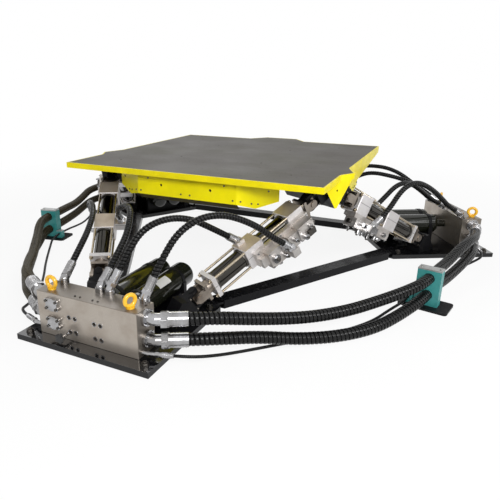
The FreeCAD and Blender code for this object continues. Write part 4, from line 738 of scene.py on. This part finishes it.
CYLINDER_HEAD = 0.775                         # end of the cylinder, up the leg
BARREL_COLLARS = (0.120, 0.324, 0.462, 0.647)
TIE_HALF = 0.051                              # half the square of the tie rods
CAP_HALF = 0.038                              # half the square of the pins' cap screws
base_bolts = Stock("base_screws", "base", "fork_black", bolt_steel)
platform_bolts = Stock("platform_screws", "platform", "fork_black", bolt_steel)
silver = Stock("fitting_nuts", "base", "zinc_fittings", zinc, 0.0010)
flange_screws = Stock("flange_screws", "base", "zinc_fittings", bolt_steel)
for number in range(1, 7):
    leg = leg_frame(number)
    up_leg = x_axis_of(leg)
    nuts = Stock(f"tie_nuts_{number}", f"cylinder_{number}_body", "cylinder_aluminium", bronze)
    trim = Stock(f"gland_{number}", f"cylinder_{number}_body", "cylinder_aluminium", bolt_steel)
    for a, b in SIGNS:
        nuts.nut(leg @ Vector((CYLINDER_HEAD, a * TIE_HALF, b * TIE_HALF)), up_leg, 0.019, 0.013)
        nuts.nut(leg @ Vector((0.095, a * TIE_HALF, b * TIE_HALF)), -up_leg, 0.019, 0.012)
        trim.bolt(leg @ Vector((0.046, a * CAP_HALF, b * CAP_HALF)), -up_leg, 0.0058, 0.007)
    trim.ring(leg @ Vector((CYLINDER_HEAD, 0, 0)), up_leg, 0.042, 0.0262, 0.009)
    for start in BARREL_COLLARS:
        trim.ring(leg @ Vector((start, 0, 0)), up_leg, 0.0562, 0.0508, 0.012)
    for k in range(6):
        angle = 2 * math.pi * k / 6 + 0.3
        trim.bolt(leg @ Vector((0.7838, 0.034 * math.cos(angle), 0.034 * math.sin(angle))), up_leg, 0.0030, 0.004,
                  False)
    nuts.done()
    trim.done()
    rod_screws = Stock(f"rod_screws_{number}", f"rod_{number}_body", "rod_chrome", bolt_steel)
    for a, b in SIGNS:
        rod_screws.bolt(leg @ Vector((LEG_LENGTH - 0.046, a * CAP_HALF, b * CAP_HALF)), up_leg, 0.0058, 0.007)
    rod_screws.done()
    low = pivot_frame(number, LOWER_ACROSS, LOWER_RISE, WING_TILT)
    high = pivot_frame(number, UPPER_ACROSS, UPPER_RISE, WING_TILT)
    for a, b in SIGNS:
        base_bolts.bolt(low @ Vector((-0.046, a * CAP_HALF, b * CAP_HALF)), x_axis_of(low), 0.0065, 0.008)
        platform_bolts.bolt(high @ Vector((0.046, a * CAP_HALF, b * CAP_HALF)), -x_axis_of(high), 0.0065, 0.008)

# Manifolds: screws on the tops and ends, and collars round the ports
for degrees in STATIONS:
    station = turned(degrees)
    for x in (-0.075, -0.045, 0.030, 0.060):
        base_bolts.bolt(station @ Vector((x, -1.722, MANIFOLD_TOP)), UP, 0.0050, 0.004, False)
    for x in (-0.270, 0.140, 0.280):
        base_bolts.bolt(station @ Vector((x, -1.652 if x > 0.2 else -1.630, MANIFOLD_TOP)), UP, 0.0065, 0.007, False)
    out = station.to_3x3() @ Vector((0, -1, 0))
    for centre in (-0.083, 0.069):
        for rise in (0.076, 0.153):
            for half in (-0.018, 0.018):
                silver.ring(station @ Vector((centre + half, -MANIFOLD_FACE, rise)), out, 0.0135, 0.0101, 0.0015, 24)
    for x in (-0.345, 0.345):
        for y in (-1.775, -1.135):
            base_bolts.nut(station @ Vector((x, y, PLATE_TOP)), UP, 0.030, 0.018)

base_bolts.done()

# Skirt and facet screws
SKIRT_SCREWS = ((-0.318, 0.558), (-0.262, 0.640), (-0.028, 0.560), (-0.028, 0.659), (0.034, 0.560), (0.034, 0.659),
                (0.262, 0.640), (0.318, 0.558))
FACET_SCREWS = ((0.025, 0.555), (0.089, 0.542), (0.127, 0.539), (0.187, 0.614))
for degrees in STATIONS:
    station = turned(degrees)
    out = station.to_3x3() @ Vector((0, -1, 0))
    for x, z in SKIRT_SCREWS:
        platform_bolts.bolt(station @ Vector((x, -SKIRT_FACE, z)), out, 0.0052, 0.004, False)
    for side in (-1, 1):
        facet = station @ Matrix.Translation((side * 0.340, -SKIRT_FACE, 0)) @ turned(30 * side)
        facet_out = facet.to_3x3() @ Vector((0, -1, 0))
        for x, z in FACET_SCREWS:
            platform_bolts.bolt(facet @ Vector((side * x, 0, z)), facet_out, 0.0050, 0.004, False)
platform_bolts.done()
# Black discs behind the skirts' holes stand in for the darkness behind them: painted shade.
hole_shade_discs = Stock("skirt_hole_shade_discs", "platform", "fork_black", satin_black)
for degrees in STATIONS:
    station = turned(degrees)
    for x in (-0.170, 0.170):
        hole_shade_discs.prism(station @ Vector((x, -0.7775, 0.603)), station.to_3x3() @ Vector((0, 1, 0)), 0.0105, 0.006)
hole_shade_discs.done()


# Hose fittings: hexagons, ferrule beads and clamp-ring screws

def ferrule(stock, start, toward, radius, length):
    """Beads round a crimped ferrule."""
    for share in (0.12, 0.3, 0.48, 0.66, 0.84):
        stock.ring(start + toward * length * share, toward, radius + 0.0016, radius - 0.001, length * 0.07, 28)


def ends_of(points):
    """Both ends of a hose, each with the direction into it."""
    pairs = ((points[0], points[1]), (points[-1], points[-2]))
    return [(Vector(first), (Vector(second) - Vector(first)).normalized()) for first, second in pairs]


for number, (leg, points) in LEG_HOSES.items():
    (start, toward), (end, inward) = ends_of(points)
    silver.prism(start - toward * 0.088, toward, 0.0262, 0.020, 6)
    silver.prism(start - toward * 0.066, toward, 0.0235, 0.006, 24)
    ferrule(silver, start - toward * 0.056, toward, 0.021, 0.054)
    leg_silver = Stock(f"leg_fitting_{number}", f"cylinder_{leg}_body", "zinc_fittings", zinc, 0.0010)
    leg_silver.prism(end - inward * 0.080, inward, 0.0262, 0.022, 6)
    leg_silver.prism(end - inward * 0.057, inward, 0.0235, 0.006, 24)
    ferrule(leg_silver, end - inward * 0.048, inward, 0.021, 0.047)
    leg_silver.done()

for points in SUPPLY.values():
    for start, toward in ends_of(points):
        silver.prism(start - toward * 0.125, toward, 0.0415, 0.030, 6)
        silver.prism(start - toward * 0.095, toward, 0.0385, 0.008, 32)
        ferrule(silver, start - toward * 0.082, toward, 0.035, 0.080)
for points in DRAIN.values():
    for start, toward in ends_of(points):
        silver.prism(start - toward * 0.085, toward, 0.0150, 0.016, 6)
        ferrule(silver, start - toward * 0.060, toward, 0.012, 0.055)
for degrees, side in ((0, 1), (0, -1), (120, -1), (240, 1)):
    station = turned(degrees)
    out = station.to_3x3() @ Vector((side, 0, 0))
    for rise in (0.108, 0.215):
        for a, b in SIGNS:
            silver.bolt(station @ Vector((side * 0.311, -1.680 + a * 0.0255, rise + b * 0.0255)), out, 0.0058, 0.007,
                        False)
for rise in (0.107, 0.205):
    for x in (-0.030, 0.030):
        for z in (-0.019, 0.019):
            lug = Vector((-0.195 + x, -MANIFOLD_FACE, rise + z))
            silver.prism(lug, Vector((0, -1, 0)), 0.0115, 0.0145, 20)
            flange_screws.bolt(lug + Vector((0, -0.0145, 0)), Vector((0, -1, 0)), 0.0068, 0.007, False)
flange_screws.done()
silver.done()


# Valve manifolds: caps, adjusters and end screws on the blocks

VALVE_FACE = 0.092                            # outer face of the manifolds' bars, from the leg's axis
VALVE_CAPS = ((0.455, -0.048, 0.058, 0.016, 0.012), (0.520, -0.020, 0.078, 0.010, 0.008),
              (0.515, -0.070, 0.070, 0.0085, 0.010), (0.606, -0.030, 0.070, 0.009, 0.010),
              (0.668, -0.050, 0.082, 0.012, 0.008), (0.720, -0.012, 0.078, 0.008, 0.008))
VALVE_SCREWS = ((0.058, ((0.645, 0.010), (0.745, 0.010), (0.645, -0.064), (0.745, -0.064))),
                (0.044, ((0.427, -0.002), (0.541, -0.002), (0.427, -0.088), (0.541, -0.088))))
for number in range(1, 7):
    body = f"cylinder_{number}_body"
    place = valve_placement(number)
    turn = place.to_3x3()
    along, away = turn @ Vector((1, 0, 0)), turn @ Vector((0, 1, 0))
    dark = Stock(f"valve_caps_{number}", body, "valve_aluminium", bolt_steel)
    bright = Stock(f"valve_screws_{number}", body, "valve_aluminium", zinc, 0.0006)
    for a, z, proud, radius, height in VALVE_CAPS:
        y = VALVE_FACE + proud
        bright.prism(place @ Vector((a, y, z)), away, radius * 1.15, height * 0.5, 6)
        dark.prism(place @ Vector((a, y + height * 0.5, z)), away, radius * 0.6, height)
    for proud, spots in VALVE_SCREWS:
        for a, z in spots:
            bright.bolt(place @ Vector((a, VALVE_FACE + proud, z)), away, 0.0045, 0.006, False)
    for a in (0.39, 0.56, 0.76):
        bright.bolt(place @ Vector((a, VALVE_FACE, 0.017)), away, 0.0048, 0.006, False)
    dark.box(place, (0.690, VALVE_FACE + 0.058, -0.066), (0.742, VALVE_FACE + 0.076, -0.030))
    dark.prism(place @ Vector((0.752, VALVE_FACE + 0.030, -0.028)), along, 0.0145, 0.022, 20)
    dark.done()
    bright.done()

# Blank patch on the right-hand bottle of the front station
patch = Stock("bottle_patch", "base", "bottle_black", label_white, 0.0)
place = Matrix.Translation((BOTTLE_SIDES[1], -1.30, BOTTLE_RISE))
rows = []
for k in range(9):
    angle = math.radians(38 + k * 5)
    for y in (-0.055, 0.055):
        rows.append(patch.bm.verts.new(place @ Vector((math.cos(angle) * 0.0716, y, math.sin(angle) * 0.0716))))
for k in range(8):
    patch.bm.faces.new((rows[2 * k], rows[2 * k + 2], rows[2 * k + 3], rows[2 * k + 1]))
patch.done()


# Stage: pale floor, white surroundings and soft lamps

def background_rays(tree):
    """1 for the rays that show the background: camera, glossy and transmission rays."""
    rays = tree.nodes.new("ShaderNodeLightPath")
    total = rays.outputs["Is Camera Ray"]
    for name in ("Is Glossy Ray", "Is Transmission Ray"):
        either = tree.nodes.new("ShaderNodeMath")
        either.operation = "MAXIMUM"
        tree.links.new(total, either.inputs[0])
        tree.links.new(rays.outputs[name], either.inputs[1])
        total = either.outputs[0]
    return total


def make_floor():
    """Pale floor that keeps a soft shadow near the object and fades into the white behind it."""
    mesh = bpy.data.meshes.new("floor")
    half, rise = 14, -0.0006
    mesh.from_pydata([(-half, -half, rise), (half, -half, rise), (half, half, rise), (-half, half, rise)], [],
                     [(0, 1, 2, 3)])
    floor = bpy.data.objects.new("floor", mesh)
    link(floor)
    material = bpy.data.materials.new("floor_pale")
    material.use_nodes = True
    tree = material.node_tree
    tree.nodes.clear()
    output = tree.nodes.new("ShaderNodeOutputMaterial")
    diffuse = tree.nodes.new("ShaderNodeBsdfDiffuse")
    diffuse.inputs["Color"].default_value = (0.90, 0.90, 0.90, 1)
    glow = tree.nodes.new("ShaderNodeEmission")
    glow.inputs["Color"].default_value = (1, 1, 1, 1)
    share = tree.nodes.new("ShaderNodeMath")
    share.operation = "MULTIPLY"
    tree.links.new(background_rays(tree), share.inputs[0])
    place = tree.nodes.new("ShaderNodeTexCoord")
    reach = tree.nodes.new("ShaderNodeVectorMath")
    reach.operation = "LENGTH"
    tree.links.new(place.outputs["Object"], reach.inputs[0])
    fade = tree.nodes.new("ShaderNodeMapRange")
    for socket, value in zip(fade.inputs, (None, 2.2, 4.6, 0.88, 1.0)):
        if value is not None:
            socket.default_value = value
    tree.links.new(reach.outputs["Value"], fade.inputs["Value"])
    tree.links.new(fade.outputs["Result"], share.inputs[1])
    mix = tree.nodes.new("ShaderNodeMixShader")
    tree.links.new(share.outputs[0], mix.inputs["Fac"])
    tree.links.new(diffuse.outputs[0], mix.inputs[1])
    tree.links.new(glow.outputs[0], mix.inputs[2])
    tree.links.new(mix.outputs[0], output.inputs["Surface"])
    mesh.materials.append(material)


make_floor()
world = bpy.data.worlds.new("studio")
world.use_nodes = True
tree = world.node_tree
background = tree.nodes["Background"]
brightness = tree.nodes.new("ShaderNodeMapRange")
tree.links.new(background_rays(tree), brightness.inputs["Value"])
brightness.inputs["To Min"].default_value = 0.40
brightness.inputs["To Max"].default_value = 1.0
tree.links.new(brightness.outputs["Result"], background.inputs["Strength"])
background.inputs["Color"].default_value = (1, 1, 1, 1)
bpy.context.scene.world = world


def lamp(name, place, goal, extent, power):
    light = bpy.data.lights.new(name, "AREA")
    light.shape = "RECTANGLE"
    light.size, light.size_y = extent
    light.energy = power
    holder = bpy.data.objects.new(name, light)
    holder.location = place
    holder.rotation_euler = (Vector(place) - Vector(goal)).to_track_quat("Z", "Y").to_euler()
    link(holder)


lamp("key", (2.9, -4.3, 2.9), (0.1, -0.3, 0.3), (2.4, 1.5), 180)
lamp("side", (4.8, -1.2, 2.8), (0.3, 0.0, 0.4), (2.0, 1.4), 55)
lamp("rear", (-2.4, 3.6, 4.2), (0.0, 0.2, 0.5), (3.0, 2.0), 75)
bpy.context.scene.view_settings.view_transform = "Standard"
